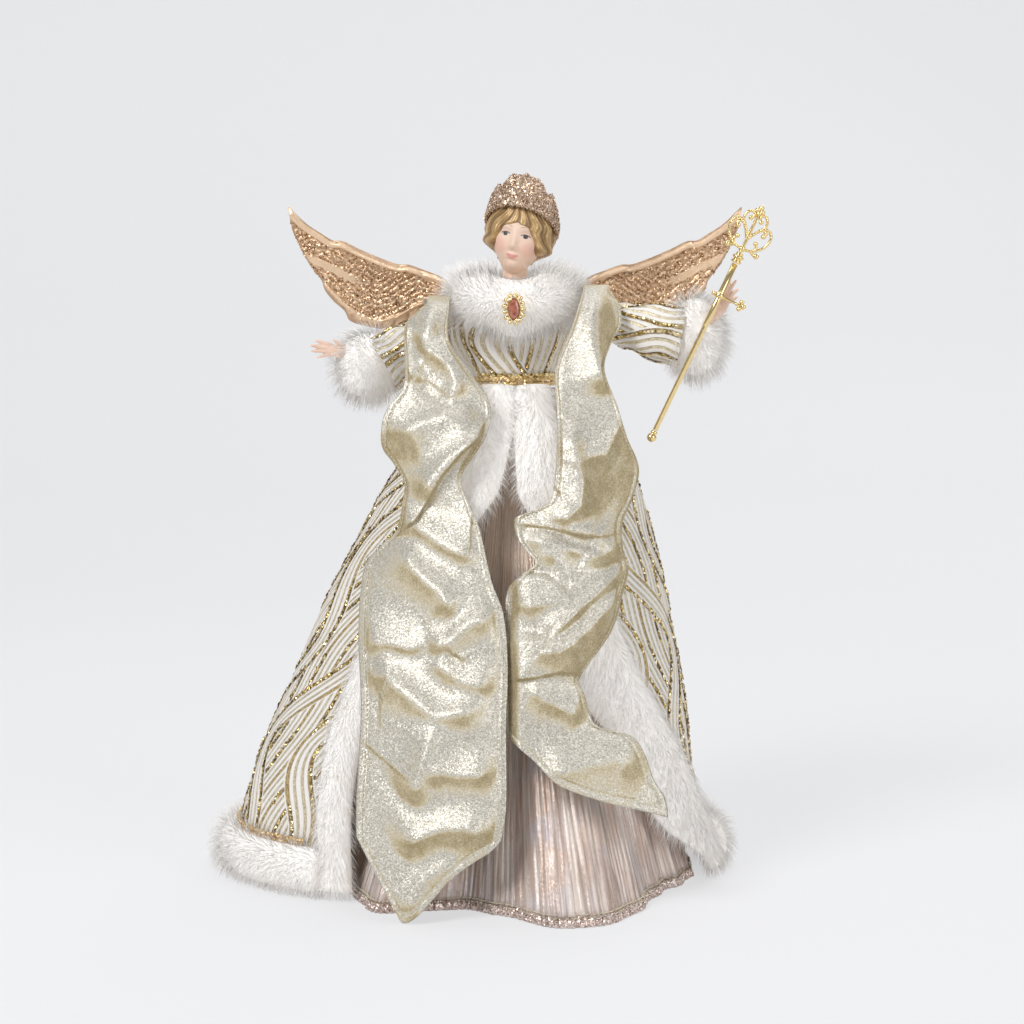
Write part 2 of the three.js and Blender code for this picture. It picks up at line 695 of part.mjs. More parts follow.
// Stole: two long panels of metallic cloth that hang in front from the shoulders. A panel is drawn by its
// edges in the front view, and stands in front of the skirts by a depth that grows downwards.
const stoleDepth = profile([
  [0, -139], [40, -134], [80, -127], [120, -118], [160, -107], [200, -94],
  [230, -82], [260, -68], [290, -54], [312, -44], [330, -32], [342, -16],
]);
const stoleRoomWest = profile([[0, 190], [100, 150], [180, 118], [240, 100], [262, 160], [300, 400]]);
const stoleRoomEast = profile([
  [0, 210], [60, 170], [120, 128], [188, 100], [240, 96], [262, 140], [300, 400],
]);

const stoleY = (x, z) => {
  const room = x < 0 ? stoleRoomWest(z) : stoleRoomEast(z);
  const overSleeve = 11 * smooth((abs(x) - 46) / 14) * smooth((z - 292) / 20);
  return stoleDepth(z) * sqrt(max(0.05, 1 - (x / room) ** 2)) + overSleeve;
};

const awayFromSegment = ([fromX, fromZ], [toX, toZ], x, z) => {
  const dx = toX - fromX;
  const dz = toZ - fromZ;
  const t = min(1, max(0, ((x - fromX) * dx + (z - fromZ) * dz) / (dx * dx + dz * dz)));
  return sqrt((x - fromX - t * dx) ** 2 + (z - fromZ - t * dz) ** 2);
};

// A fold lies along a line of the front view, and stands out by its height.
function foldRise(folds, x, z) {
  return folds.reduce((sum, { line, width, height }) => {
    const gaps = line.slice(1).map((point, i) => awayFromSegment(line[i], point, x, z));
    return sum + height * exp(-((min(...gaps) / width) ** 2));
  }, 0);
}

// The right panel turns once at the hip, and ends in a long slanted point.
const rightPanel = {
  top: 333,
  west: profile([
    [0, -87], [62, -87], [112, -85], [150, -87], [176, -86], [190, -83], [208, -66], [222, -63],
    [234, -62], [250, -74], [262, -75], [274, -72], [286, -63], [314, -63], [322, -62], [333, -50],
  ]),
  east: profile([
    [0, -7], [62, -5], [140, -4], [166, -6.5], [182, -12.6], [208, -19], [224, -25], [235, -29.5],
    [242, -28], [252, -21], [264, -14], [274, -13.4], [284, -17], [294, -24.7], [312, -37], [333, -37.5],
  ]),
  hem: profile([[0, 45], [0.1, 31], [0.3, 1], [0.4, 3], [0.6, 20], [0.83, 35], [1, 46]]),
  folds: [
    { line: [[-47, 327], [-60, 318], [-62, 301], [-48, 292]], width: 8, height: 7 },
    { line: [[-48, 318], [-47, 307], [-34, 294], [-44, 274]], width: 9, height: 8 },
    { line: [[-71, 257], [-52, 267], [-17, 274]], width: 10, height: 9 },
    { line: [[-15, 266], [-36, 249], [-56, 222]], width: 10, height: 10 },
    { line: [[-26, 240], [-46, 216], [-62, 205]], width: 10, height: 8 },
    { line: [[-84, 188], [-50, 187], [-29, 163]], width: 11, height: 10 },
    { line: [[-86, 141], [-70, 132], [-46, 139], [-10, 127]], width: 11, height: 10 },
    { line: [[-40, 110], [-50, 84], [-64, 65], [-84, 60]], width: 12, height: 10 },
    { line: [[-50, 80], [-34, 82], [-9, 82]], width: 11, height: 7 },
    { line: [[-80, 28], [-52, 45], [-22, 55]], width: 12, height: 8 },
  ],
};
// The left panel is caught back at the hip, passes under the right one and ends in a point to the side.
const leftPanel = {
  top: 341,
  tuck: 7.5,
  west: profile([
    [50, -6.5], [150, -6.5], [166, -5.8], [178, -4], [190, 10], [194, 10.5], [199, 6], [205, 1.6],
    [212, -0.6], [217, 1], [221, 12], [226, 19.4], [240, 22.2], [296, 22.5], [318, 31], [341, 39],
  ]),
  east: profile([
    [50, 84], [65, 82], [75, 76], [91, 70], [100, 62], [106, 44], [122, 38], [136, 38], [155, 52.7],
    [176, 60], [212, 60], [225, 66], [238, 69.7], [258, 63], [277, 57], [297, 50], [310, 54],
    [320, 60], [331, 60], [341, 54],
  ]),
  hem: profile([[0, 102.3], [0.2, 89.1], [0.36, 76.5], [0.61, 66], [1, 55]]),
  folds: [
    { line: [[34, 330], [29, 270]], width: 11, height: 6 },
    { line: [[50, 318], [48, 280], [60, 236]], width: 11, height: 6 },
    { line: [[27, 273], [37, 235], [29, 218], [12, 217]], width: 11, height: 11 },
    { line: [[2, 206], [36, 201], [58, 190]], width: 9, height: 9 },
    { line: [[63, 186], [36, 170], [18, 153]], width: 11, height: 12 },
    { line: [[10, 129], [30, 122], [40, 113]], width: 11, height: 9 },
    { line: [[6, 96], [40, 88], [74, 74]], width: 12, height: 8 },
  ],
};
const stole = { columns: 8, rows: 29, shoulderRows: 3, shoulder: [vec(0, 7, 341.6), vec(0, -5, 344.6)] };

// The first rows lie over the shoulder, on a curve from behind it to the top of the hanging part.
function stolePanel({ top, west, east, hem, folds, tuck = 0 }) {
  const rows = stole.rows + stole.shoulderRows;
  const front = (x, z) => stoleY(x, z) - foldRise(folds, x, z) + tuck * smooth((3 - x) / 8);
  const overShoulder = (u, q, inset) => {
    const x = mix(west(top), east(top), u);
    const curve = new THREE.CatmullRomCurve3([...stole.shoulder, vec(0, front(x, top), top)]);
    return curve.getPoint(q).add(vec(x, inset * q, -inset * (1 - q)));
  };
  const point = (inset) => (u, v) => {
    const row = v * rows - stole.shoulderRows;
    if (row < 0) return overShoulder(u, 1 + row / stole.shoulderRows, inset);
    const z = mix(top, hem(u), row / stole.rows);
    const x = mix(west(z), east(z), u);
    return vec(x, front(x, z) + inset, z);
  };
  return sheet(point(0), point(clothWall), stole.columns, rows);
}

// The stretch of the stole that joins the panels across the back, below the collar.
function stoleBack() {
  const level = [vec(0, 25.4, 314), vec(18, 25.2, 315), vec(34, 22.5, 321)];
  const half = [...level, vec(43, 15, 331), vec(46, 5, 337.6)];
  const other = half.slice(1).map((p) => vec(-p.x, p.y, p.z - 1)).reverse();
  const line = new THREE.CatmullRomCurve3([...other, ...half]);
  const steps = 18;
  const rings = [];
  for (let i = 0; i <= steps; i += 1) {
    const t = i / steps;
    const tangent = line.getTangent(t);
    const lying = smooth(abs(2 * t - 1) * 1.6 - 0.5);
    const face = vec(0, 1 - lying, lying);
    const across = tangent.clone().cross(face).normalize();
    const normal = across.clone().cross(tangent).normalize();
    const halfWidth = mix(7.5, 8.5, lying);
    rings.push(ellipse(line.getPoint(t), across.multiplyScalar(halfWidth), normal.multiplyScalar(1.2), 8));
  }
  return loft(rings);
}

// Arms: a wire runs from the shoulder to the wrist, in a stuffed sleeve with a fur cuff
const arms = {
  right: {
    side: -1,
    wrist: vec(-96, -22, 305),
    fingers: vec(-117, -27, 308),
    cuff: vec(-84, -16, 297),
    cuffSize: vec(20, 18, 24),
  },
  left: {
    side: 1,
    wrist: vec(114.5, -30, 328),
    fingers: vec(127.5, -32, 346),
    cuff: vec(104, -14, 313.5),
    cuffSize: vec(19, 18, 29),
  },
};
const wirePath = ({ side, cuff: centre, wrist, fingers }) => [
  vec(side * (shoulder.x + 1.2), shoulder.y, shoulder.z),
  vec(side * (shoulder.x + 12), shoulder.y - 2, mix(shoulder.z, centre.z, 0.15)),
  centre.clone().lerp(vec(side * shoulder.x, 0, shoulder.z), 0.3),
  wrist.clone().lerp(centre, 0.5),
  wrist.clone().lerp(fingers, 0.12),
];

const armWire = (arm, grow = 0) => wire(wirePath(arm), wireRadius + grow, 9, 5);

function sleeveMass({ side, cuff: centre }, grow = 0) {
  const end = vec(centre.x - side * 8, centre.y + 1, centre.z);
  const start = vec(side * 40.6, 0, 325);
  const points = [start, start.clone().lerp(end, 0.3), start.clone().lerp(end, 0.65), end];
  return limb(points, (t) => mix(8.6, 17.5, smooth(t * 1.25)) + grow, 7, 14, 0.84);
}

const wrist = (arm, grow = 0) => {
  const start = arm.wrist.clone().lerp(arm.cuff, 0.75);
  return limb([start, arm.wrist.clone().lerp(arm.cuff, 0.35), arm.wrist], () => 3.2 + grow, 3, 8);
};

// The cuff's mouth, which widens round the heel of the hand.
function cuffMouth(arm) {
  const far = arm.wrist.clone().lerp(arm.fingers, 0.6);
  return limb([arm.wrist.clone().lerp(arm.cuff, 0.25), arm.wrist, far], (t) => mix(4.6, 7.5, t), 3, 10);
}

function cuffFur(arm) {
  const { cuff: centre, cuffSize } = arm;
  const along = arm.wrist.clone().sub(centre).setZ(0).normalize();
  const across = vec(-along.y, along.x, 0);
  const rows = 8;
  const rings = Array.from({ length: rows + 1 }, (_, r) => {
    const a = mix(-0.42 * PI, 0.42 * PI, r / rows);
    const middle = centre.clone().addScaledVector(along, cuffSize.x * sin(a));
    const girth = cos(a) ** 0.6;
    const half = across.clone().multiplyScalar(cuffSize.y * girth);
    return ellipse(middle, half, vec(0, 0, cuffSize.z * girth), 14);
  });
  return cut(loft(rings), sleeveMass(arm, gap), wrist(arm, gap), armWire(arm, gap), cuffMouth(arm));
}

const sleeveFill = (arm) => cut(sleeveMass(arm), wrist(arm, gap), armWire(arm, gap));

// Hands: a palm with four fingers and a thumb, each a tapered limb. Local +x runs along the fingers.
const handScale = 0.9;
const finger = (points, radius) =>
  limb(points.map((p) => vec(...p)), (t) => radius * (1 - 0.35 * t) * sqrt(max(0.2, 1 - t ** 6)), 3, 5);
const palm = (points, thickest) =>
  limb(points.map((p) => vec(...p)), (t) => mix(3, thickest, sin(PI * t)), 4, 8, 0.55);

function openHand() {
  return join(
    palm([[-3, 0, 0], [3, 0, 0.5], [8, 0, 0.3], [13, 0, 0]], 4.2),
    finger([[10, 0, -2.6], [16, -0.8, -4], [22, -1.6, -4.6]], 1.5),
    finger([[11, 0, -0.9], [18, -0.8, -1.2], [25, -1.8, -1.2]], 1.55),
    finger([[11, 0, 0.9], [17.5, -0.4, 1.6], [23.5, -0.8, 2.2]], 1.45),
    finger([[10, 0, 2.4], [15, 0.4, 4.4], [19, 0.6, 6.2]], 1.25),
    finger([[3, -1, -2.4], [7, -3.4, -5], [11, -4.4, -7]], 1.6),
  );
}

function grippingHand() {
  return join(
    palm([[-3, 0, 0], [3, 0, 0], [8, 0, 0.2], [13, 0, 0.4]], 4.2),
    finger([[10, 0, 2.6], [16, -0.6, 4.2], [22, -0.4, 5]], 1.5),
    finger([[11, 0, 0.9], [18, -0.4, 1.8], [24, -0.2, 2]], 1.5),
    finger([[11, 0, -0.8], [16.5, -1.4, -1.4], [20.5, -3, -2.4]], 1.45),
    finger([[9.5, 0, -2.4], [13.5, -2, -3.8], [16, -4, -4.8]], 1.3),
    finger([[3.5, -1.2, 2.2], [6, -5, 4.2], [10, -7.4, 4.6]], 1.55),
  );
}

function hand(arm) {
  const along = arm.fingers.clone().sub(arm.wrist).normalize();
  const away = vec(0, 1, 0).projectOnPlane(along).normalize();
  const placing = new THREE.Matrix4().makeBasis(along, away, along.clone().cross(away));
  placing.setPosition(arm.wrist);
  placing.scale(vec(handScale, handScale, handScale));
  const fingers = (arm.side > 0 ? grippingHand() : openHand()).applyMatrix4(placing);
  const rooms = [armWire(arm, gap)];
  if (arm.side > 0) rooms.push(bar(scepter.foot, scepter.neck, 1.9 + gap, 10));
  return cut(join(fingers, wrist(arm)), ...rooms);
}

// Scepter: a stepped rod with a ball foot, a ringed neck, an openwork head and a short guard.
// Local frame: z up the rod from its foot.
const scepter = {
  foot: vec(79.6, -36, 261.2),
  neck: vec(124.7, -36, 356.4),
  rod: 1.5,
  stepOut: 0.3,
  wire: 0.8,
  headLift: 2.6,
  stemFoot: 3.8,
  stemTop: 30.6,
};
const scepterLength = scepter.foot.distanceTo(scepter.neck);

function scepterRod() {
  const step = scepterLength * 0.62;
  const { rod, stepOut } = scepter;
  const thick = rod + stepOut;
  const top = scepterLength - 1;
  const outline = [[0, 0], [rod, 0], [rod, step], [thick, step + 0.5], [thick, top], [0, top], [0, 0]];
  return lathe(outline, 12);
}

function scepterFoot() {
  const ball = [[0, -7], [1.6, -6.6], [2.6, -5.4], [2.8, -4.2], [2.2, -2.8]];
  const collar = [[1.4, -2.2], [2, -1.5], [1.6, -gap], [0, -gap]];
  return lathe([...ball, ...collar, ball[0]], 12);
}

function scepterNeck() {
  const lowRing = [[0, 0], [2.6, 0], [3.3, 0.9], [2.6, 1.8], [2.5, 2.6]];
  const highRing = [[3.6, 3.6], [2.6, 4.8], [1.8, 6.4], [0, 6.6]];
  const outline = [...lowRing, ...highRing, lowRing[0]];
  return lathe(outline.map(([r, z]) => [r, z + scepterLength - 1 + gap]), 12);
}

// The head is bent from beaded wire, alike on both sides: two loops with curled ends, a heart over them,
// leaves inside and below, and a stem up the middle to a cluster of balls. Points are [across, up].
const headLoop = [
  [0.4, 5.5], [4.5, 6.2], [9.5, 9.5], [12, 14], [11.9, 18.6],
  [8.8, 21], [5.2, 19.6], [2.6, 15.8], [0.2, 11.5],
];
const headHeart = [
  [0.2, 13.5], [3.6, 17.2], [6.4, 21], [6.6, 24.6], [4.6, 27.2], [2.2, 26.8], [1.9, 24.8], [3.2, 23.4],
];
const headWires = [
  { line: headLoop, steps: 11 },
  { line: headHeart, steps: 8 },
  { line: [[5.2, 19.6], [7.4, 19.6], [8.9, 18.2], [7.9, 16.7]], steps: 3 },
  { line: [[6.5, 7.4], [6.8, 9.4], [5.7, 11.3]], steps: 2 },
  { line: [[5, 6.4], [7.2, 4.8], [9, 5]], steps: 2 },
];
// Balls are [across, up, radius]: the ends of the curls and leaves, then the pair under the tip.
const headBalls = [[7.9, 16.7, 1.5], [5.7, 11.3, 1.4], [9, 5, 1.7], [3.2, 23.4, 1.4], [1.5, 28.8, 1.6]];
const stemBalls = [[0, 5.6, 2], [0, 27.2, 1.6], [0, 30.6, 1.7]];

function scepterHead() {
  const ball = ([x, z, r]) => new THREE.OctahedronGeometry(r, 0).translate(x, 0, z);
  const { stemFoot, stemTop, headLift } = scepter;
  const stem = bar(vec(0, 0, stemFoot), vec(0, 0, stemTop), 1, 6);
  const sides = [-1, 1].flatMap((side) => [
    ...headWires.map(({ line, steps }) => {
      const bend = line.map(([x, z]) => vec(side * x, 0, z));
      return wire(bend, scepter.wire, steps, 4);
    }),
    ...headBalls.map(([x, z, r]) => ball([side * x, z, r])),
  ]);
  return join(stem, ...stemBalls.map(ball), ...sides).translate(0, 0, scepterLength + headLift);
}

function scepterGuard() {
  const knob = ([x, z, r]) => new THREE.OctahedronGeometry(r, 0).translate(x, 0, z);
  const inner = scepter.rod + scepter.stepOut + gap;
  const outer = inner + 0.9;
  const half = 1.2;
  const reach = 14;
  const ring = lathe([[inner, -half], [outer, -half], [outer, half], [inner, half], [inner, -half]], 12);
  const arm = bar(vec(inner + 0.3, 0, 0), vec(reach, 0, 0), scepter.wire, 6);
  const knobs = [[reach + 0.6, 0, 1.8], [reach - 1, 1.9, 1.5], [reach - 1, -1.9, 1.5], [-3.4, 0, 1.5]];
  return join(arm, ring, ...knobs.map(knob)).translate(0, 0, scepterLength * 0.8);
}

// Finishes

const finish = {
  card: { color: 0xd9cdb4, roughness: 0.85, metalness: 0 },
  roseCloth: { color: 0xc4a08c, roughness: 0.4, metalness: 0.6 },
  roseGlitter: { color: 0xd0b09a, roughness: 0.35, metalness: 0.7 },
  coatCloth: { color: 0xe9e2d8, roughness: 0.75, metalness: 0.05 },
  fur: { color: 0xf3f0ec, roughness: 0.95, metalness: 0 },
  sequinGold: { color: 0xc79a4e, roughness: 0.3, metalness: 0.9 },
  stuffing: { color: 0xe6dfd2, roughness: 0.9, metalness: 0 },
  wood: { color: 0xc9a97a, roughness: 0.7, metalness: 0 },
  skin: { color: 0xd9b195, roughness: 0.55, metalness: 0 },
  hairPaint: { color: 0xc8a468, roughness: 0.45, metalness: 0.15 },
  crownGlitter: { color: 0xc9a288, roughness: 0.35, metalness: 0.7 },
  wingPaint: { color: 0xbf8f6c, roughness: 0.4, metalness: 0.65 },
  steel: { color: 0xa9a49c, roughness: 0.4, metalness: 0.9 },
  stoleCloth: { color: 0xd3c9a6, roughness: 0.35, metalness: 0.7 },
  polishedGold: { color: 0xd9b56a, roughness: 0.2, metalness: 1 },
  stone: { color: 0xc0785e, roughness: 0.1, metalness: 0.1 },
};

function piece(name, geometry, look) {
  const mesh = new THREE.Mesh(geometry, new THREE.MeshStandardMaterial(look));
  mesh.name = name;
  return mesh;
}

const figure = new THREE.Group();
figure.position.copy(figureOffset);

// Body and clothes
figure.add(
  piece("support_cone", supportCone(), finish.card),
  piece("torso_core", torsoCore(), finish.stuffing),
  piece("shoulder_wire", shoulderBar(-shoulder.x + 0.8, shoulder.x - 0.8, wireRadius), finish.steel),
  piece("neck_dowel", neckBar(), finish.wood),
  piece("underskirt", underskirtShell(), finish.roseCloth),
  piece("underskirt_hem_tape", underskirtHem(), finish.roseGlitter),
  piece("coat_skirt", coatShell(), finish.coatCloth),
  piece("coat_front_fur_right", frontFurStrip("west"), finish.fur),
  piece("coat_front_fur_left", frontFurStrip("east"), finish.fur),
  piece("coat_hem_fur", hemFurStrip(), finish.fur),
  piece("coat_hem_braid", hemBraid(), finish.sequinGold),
  piece("bodice", bodiceShell(), finish.coatCloth),
  piece("belt", belt(), finish.sequinGold),
  piece("fur_collar", furCollar(), finish.fur),
  piece("stole_right_panel", stolePanel(rightPanel), finish.stoleCloth),
  piece("stole_left_panel", stolePanel(leftPanel), finish.stoleCloth),
  piece("stole_back_band", stoleBack(), finish.stoleCloth),
);

// Head
const head = new THREE.Group();
head.position.copy(headCentre);
head.rotation.set(0, headRoll, headYaw, "YXZ");
head.add(
  piece("head", headCasting(), finish.skin),
  piece("hair", hairCasting(), finish.hairPaint),
  piece("crown", crownCasting(), finish.crownGlitter),
);
figure.add(head);

const broochGroup = new THREE.Group();
broochGroup.position.copy(brooch.place);
broochGroup.add(
  piece("brooch_setting", broochSetting(), finish.polishedGold),
  piece("brooch_stone", broochStone(), finish.stone),
);
figure.add(broochGroup);

// Wings
figure.add(
  piece("wing_left", wingCasting(1), finish.wingPaint),
  piece("wing_right", wingCasting(-1), finish.wingPaint),
  piece("wing_strap", wingStrap(), finish.steel),
  piece("strap_screw_left", strapScrew(1), finish.steel),
  piece("strap_screw_right", strapScrew(-1), finish.steel),
);

for (const [name, arm] of Object.entries(arms))
  figure.add(
    piece(`sleeve_${name}`, sleeveFill(arm), finish.coatCloth),
    piece(`cuff_fur_${name}`, cuffFur(arm), finish.fur),
    piece(`hand_${name}`, hand(arm), finish.skin),
    piece(`arm_wire_${name}`, armWire(arm), finish.steel),
  );

const scepterGroup = new THREE.Group();
scepterGroup.position.copy(scepter.foot);
scepterGroup.quaternion.setFromUnitVectors(vec(0, 0, 1), scepter.neck.clone().sub(scepter.foot).normalize());
scepterGroup.add(
  piece("scepter_rod", scepterRod(), finish.polishedGold),
  piece("scepter_foot", scepterFoot(), finish.polishedGold),
  piece("scepter_neck", scepterNeck(), finish.polishedGold),
  piece("scepter_head", scepterHead(), finish.polishedGold),
  piece("scepter_guard", scepterGuard(), finish.polishedGold),
);
figure.add(scepterGroup);

export default figure;
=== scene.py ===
import math

import bmesh
import bpy
import numpy as np
from mathutils import Matrix, Vector


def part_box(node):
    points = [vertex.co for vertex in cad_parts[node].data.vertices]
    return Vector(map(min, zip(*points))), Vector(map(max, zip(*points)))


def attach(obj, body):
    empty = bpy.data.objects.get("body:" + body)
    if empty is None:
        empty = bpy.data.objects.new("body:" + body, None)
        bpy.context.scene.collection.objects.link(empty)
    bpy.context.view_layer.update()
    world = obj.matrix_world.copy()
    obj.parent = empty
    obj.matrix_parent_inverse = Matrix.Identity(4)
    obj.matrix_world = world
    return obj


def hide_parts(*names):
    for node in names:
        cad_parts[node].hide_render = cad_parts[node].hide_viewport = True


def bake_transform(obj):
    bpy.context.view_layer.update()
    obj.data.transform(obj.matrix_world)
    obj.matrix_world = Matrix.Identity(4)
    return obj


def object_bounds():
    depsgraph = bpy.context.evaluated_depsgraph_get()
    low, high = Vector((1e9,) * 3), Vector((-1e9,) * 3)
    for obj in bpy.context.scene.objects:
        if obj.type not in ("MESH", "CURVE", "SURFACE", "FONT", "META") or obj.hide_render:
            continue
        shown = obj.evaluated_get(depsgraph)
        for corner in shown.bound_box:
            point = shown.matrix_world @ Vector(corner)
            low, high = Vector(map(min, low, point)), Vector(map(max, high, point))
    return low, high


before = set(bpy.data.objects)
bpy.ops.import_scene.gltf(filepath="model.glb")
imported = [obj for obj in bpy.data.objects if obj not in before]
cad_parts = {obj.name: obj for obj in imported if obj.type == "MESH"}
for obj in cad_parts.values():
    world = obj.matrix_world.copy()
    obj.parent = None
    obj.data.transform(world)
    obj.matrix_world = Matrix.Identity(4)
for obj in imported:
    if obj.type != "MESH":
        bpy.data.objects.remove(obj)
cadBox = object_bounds()

mm = 0.001
pi = math.pi
coneLow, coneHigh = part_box("support_cone")
coneMiddle = (coneLow + coneHigh) / 2
dollAxis = np.array((coneMiddle.x, coneMiddle.y, 0)) / mm  # the doll's upright axis, in mm
floorZ = cadBox[0].z


# Small maths on numbers and numpy arrays; lengths are millimetres from the doll's axis

def mix(a, b, t):
    return a + (b - a) * t


def smooth(t):
    t = np.clip(t, 0, 1)
    return t * t * (3 - 2 * t)


def bump(x, centre, width):
    return np.exp(-(((x - centre) / width) ** 2))


def unit(v):
    v = np.asarray(v, float)
    return v / np.maximum(np.linalg.norm(v, axis=-1, keepdims=True), 1e-9)


def vec(x, y, z):
    return np.stack(np.broadcast_arrays(np.asarray(x, float), y, z), -1)


def profile(*stations):  # a smooth curve through (position, value) stations, level past both ends
    at = np.array([s[0] for s in stations], float)
    value = np.array([s[1] for s in stations], float)
    lo = np.maximum(np.arange(len(at)) - 1, 0)
    hi = np.minimum(np.arange(len(at)) + 1, len(at) - 1)
    slope = ((value[hi] - value[lo]).T / (at[hi] - at[lo])).T

    def curve(x):
        x = np.clip(np.asarray(x, float), at[0], at[-1])
        i = np.clip(np.searchsorted(at, x, side="right") - 1, 0, len(at) - 2)
        span = at[i + 1] - at[i]
        t = (x - at[i]) / span
        if value.ndim > 1:
            span, t = span[..., None], t[..., None]
        rise = value[i] * (1 + 2 * t) * (1 - t) ** 2 + value[i + 1] * t * t * (3 - 2 * t)
        return rise + span * (slope[i] * t * (1 - t) ** 2 - slope[i + 1] * t * t * (1 - t))

    return curve


def path(*points):  # a smooth line through points, by share of its length
    points = np.array(points, float)
    gaps = np.linalg.norm(np.diff(points, axis=0), axis=1)
    at = np.concatenate([[0], np.cumsum(gaps)]) / gaps.sum()
    return profile(*zip(at, points))


def wobble(points, size, seed, waves=7):  # smooth unevenness from -1 to 1 with features of that size
    rng = np.random.default_rng(seed)
    total = np.zeros(np.shape(points)[:-1])
    for _ in range(waves):
        way = unit(rng.normal(size=3)) * rng.uniform(0.6, 1.5)
        total = total + np.sin(points @ way * 2 * pi / size + rng.uniform(0, 2 * pi))
    return total / waves ** 0.5 / 1.5


# Node trees

class Flow:  # the value of a socket, so that maths on it reads as maths
    def __init__(self, draft, socket):
        self.draft, self.socket = draft, socket

    def maths(self, operation, *others):
        return self.draft.add("ShaderNodeMath", {"operation": operation}, dict(enumerate([self, *others])))

    def __add__(self, other):
        return self.maths("ADD", other)

    def __sub__(self, other):
        return self.maths("SUBTRACT", other)

    def __mul__(self, other):
        return self.maths("MULTIPLY", other)

    def __truediv__(self, other):
        return self.maths("DIVIDE", other)

    def __pow__(self, other):
        return self.maths("POWER", other)

    def __rsub__(self, other):
        return self.maths("MULTIPLY", -1.0) + other

    __radd__ = __add__
    __rmul__ = __mul__


class Draft:  # a node tree that is being built
    def __init__(self, tree):
        self.tree = tree

    def add(self, kind, settings=None, inputs=None, output=0):
        node = self.tree.nodes.new(kind)
        for name, value in (settings or {}).items():
            if name == "stops":
                ramp = node.color_ramp.elements
                while len(ramp) < len(value):
                    ramp.new(0.5)
                for stop, (place, colour) in zip(ramp, value):
                    stop.position, stop.color = place, (*colour, 1)
            else:
                setattr(node, name, value)
        for name, value in (inputs or {}).items():
            if isinstance(value, Flow):
                self.tree.links.new(value.socket, node.inputs[name])
            else:
                node.inputs[name].default_value = value
        return Flow(self, node.outputs[output])

    def sine(self, angle):
        return angle.maths("SINE")

    def between(self, value, low, high):  # 0 below low, 1 above high, smooth in between
        sizes = {"Value": value, "From Min": low, "From Max": high}
        return self.add("ShaderNodeMapRange", {"interpolation_type": "SMOOTHSTEP"}, sizes)

    def vectors(self, operation, *values, scale=None):
        inputs = dict(enumerate(values))
        if scale is not None:
            inputs["Scale"] = scale
        return self.add("ShaderNodeVectorMath", {"operation": operation}, inputs)

    def place(self):
        return self.add("ShaderNodeTexCoord", output="Object")

    def uv(self):
        return self.add("ShaderNodeTexCoord", output="UV")

    def stored(self, label, output="Fac"):  # what the mesh keeps under that name
        return self.add("ShaderNodeAttribute", {"attribute_name": label}, output=output)

    def point(self, x=0.0, y=0.0, z=0.0):
        return self.add("ShaderNodeCombineXYZ", None, {0: x, 1: y, 2: z})

    def axes(self, vector):
        return [self.add("ShaderNodeSeparateXYZ", None, {0: vector}, i) for i in range(3)]

    def noise(self, size, detail=2.0, at=None):  # 0 to 1, with features of that many mm
        inputs = {"Vector": at or self.place(), "Scale": 1 / (size * mm), "Detail": detail}
        return self.add("ShaderNodeTexNoise", None, inputs)

    def cells(self, size, at=None, output="Distance"):
        inputs = {"Vector": at or self.place(), "Scale": 1 / (size * mm)}
        return self.add("ShaderNodeTexVoronoi", None, inputs, output)

    def tint(self, factor, low, high):
        low, high = [c if isinstance(c, Flow) else (*c, 1) for c in (low, high)]
        return self.add("ShaderNodeMix", {"data_type": "RGBA"}, {0: factor, 6: low, 7: high}, 2)

    def relief(self, height, depth, normal=None):  # height 0 to 1 stands for depth mm
        inputs = {"Height": height, "Distance": depth * mm, "Strength": 1.0}
        if normal:
            inputs["Normal"] = normal
        return self.add("ShaderNodeBump", None, inputs)

    def glints(self, size, spread, normal=None):  # each flake of that size faces its own way
        facing = normal or self.add("ShaderNodeNewGeometry", output="Normal")
        chance = self.vectors("SUBTRACT", self.cells(size, output="Color"), (0.5, 0.5, 0.5))
        turned = self.vectors("ADD", facing, self.vectors("SCALE", chance, scale=spread))
        return self.vectors("NORMALIZE", turned)


def blankMaterial(name):
    material = bpy.data.materials.new(name)
    material.use_nodes = True
    material.node_tree.nodes.clear()
    return material


def finish(name, build, **steady):  # steady values sit on the shader's sockets, build gives what varies
    material = blankMaterial(name)
    tree = material.node_tree
    shader = tree.nodes.new("ShaderNodeBsdfPrincipled")
    output = tree.nodes.new("ShaderNodeOutputMaterial")
    tree.links.new(shader.outputs[0], output.inputs["Surface"])
    for label, value in steady.items():
        shader.inputs[label.replace("_", " ")].default_value = value
    for label, value in build(Draft(tree)).items():
        if isinstance(value, Flow):
            tree.links.new(value.socket, shader.inputs[label])
        else:
            shader.inputs[label].default_value = value
    return material


# Finishes

def cardFinish(d):
    x, _, z = d.axes(d.place())
    winding = d.sine((z * 210 + x * 25) * 6.28)
    fibre = d.noise(1.2, 4)
    return {
        "Base Color": d.tint(fibre * 0.7 + winding * 0.08, (0.66, 0.56, 0.42), (0.82, 0.75, 0.62)),
        "Roughness": fibre * 0.2 + 0.7,
        "Normal": d.relief(fibre + winding * 0.2, 0.15),
    }


def muslinFinish(d):
    x, _, z = d.axes(d.place())
    threads = d.sine(x * 9000) * d.sine(z * 9000)
    return {
        "Base Color": d.tint(d.noise(6), (0.78, 0.74, 0.66), (0.88, 0.85, 0.79)),
        "Roughness": 0.9,
        "Normal": d.relief(threads * 0.5 + 0.5, 0.12),
    }


def woodFinish(d):
    x, y, z = d.axes(d.place())
    grain = d.noise(1.4, 3, d.point(x, y, z * 0.1))
    return {
        "Base Color": d.tint(grain, (0.50, 0.34, 0.18), (0.74, 0.57, 0.36)),
        "Roughness": 0.65,
        "Normal": d.relief(grain, 0.1),
    }


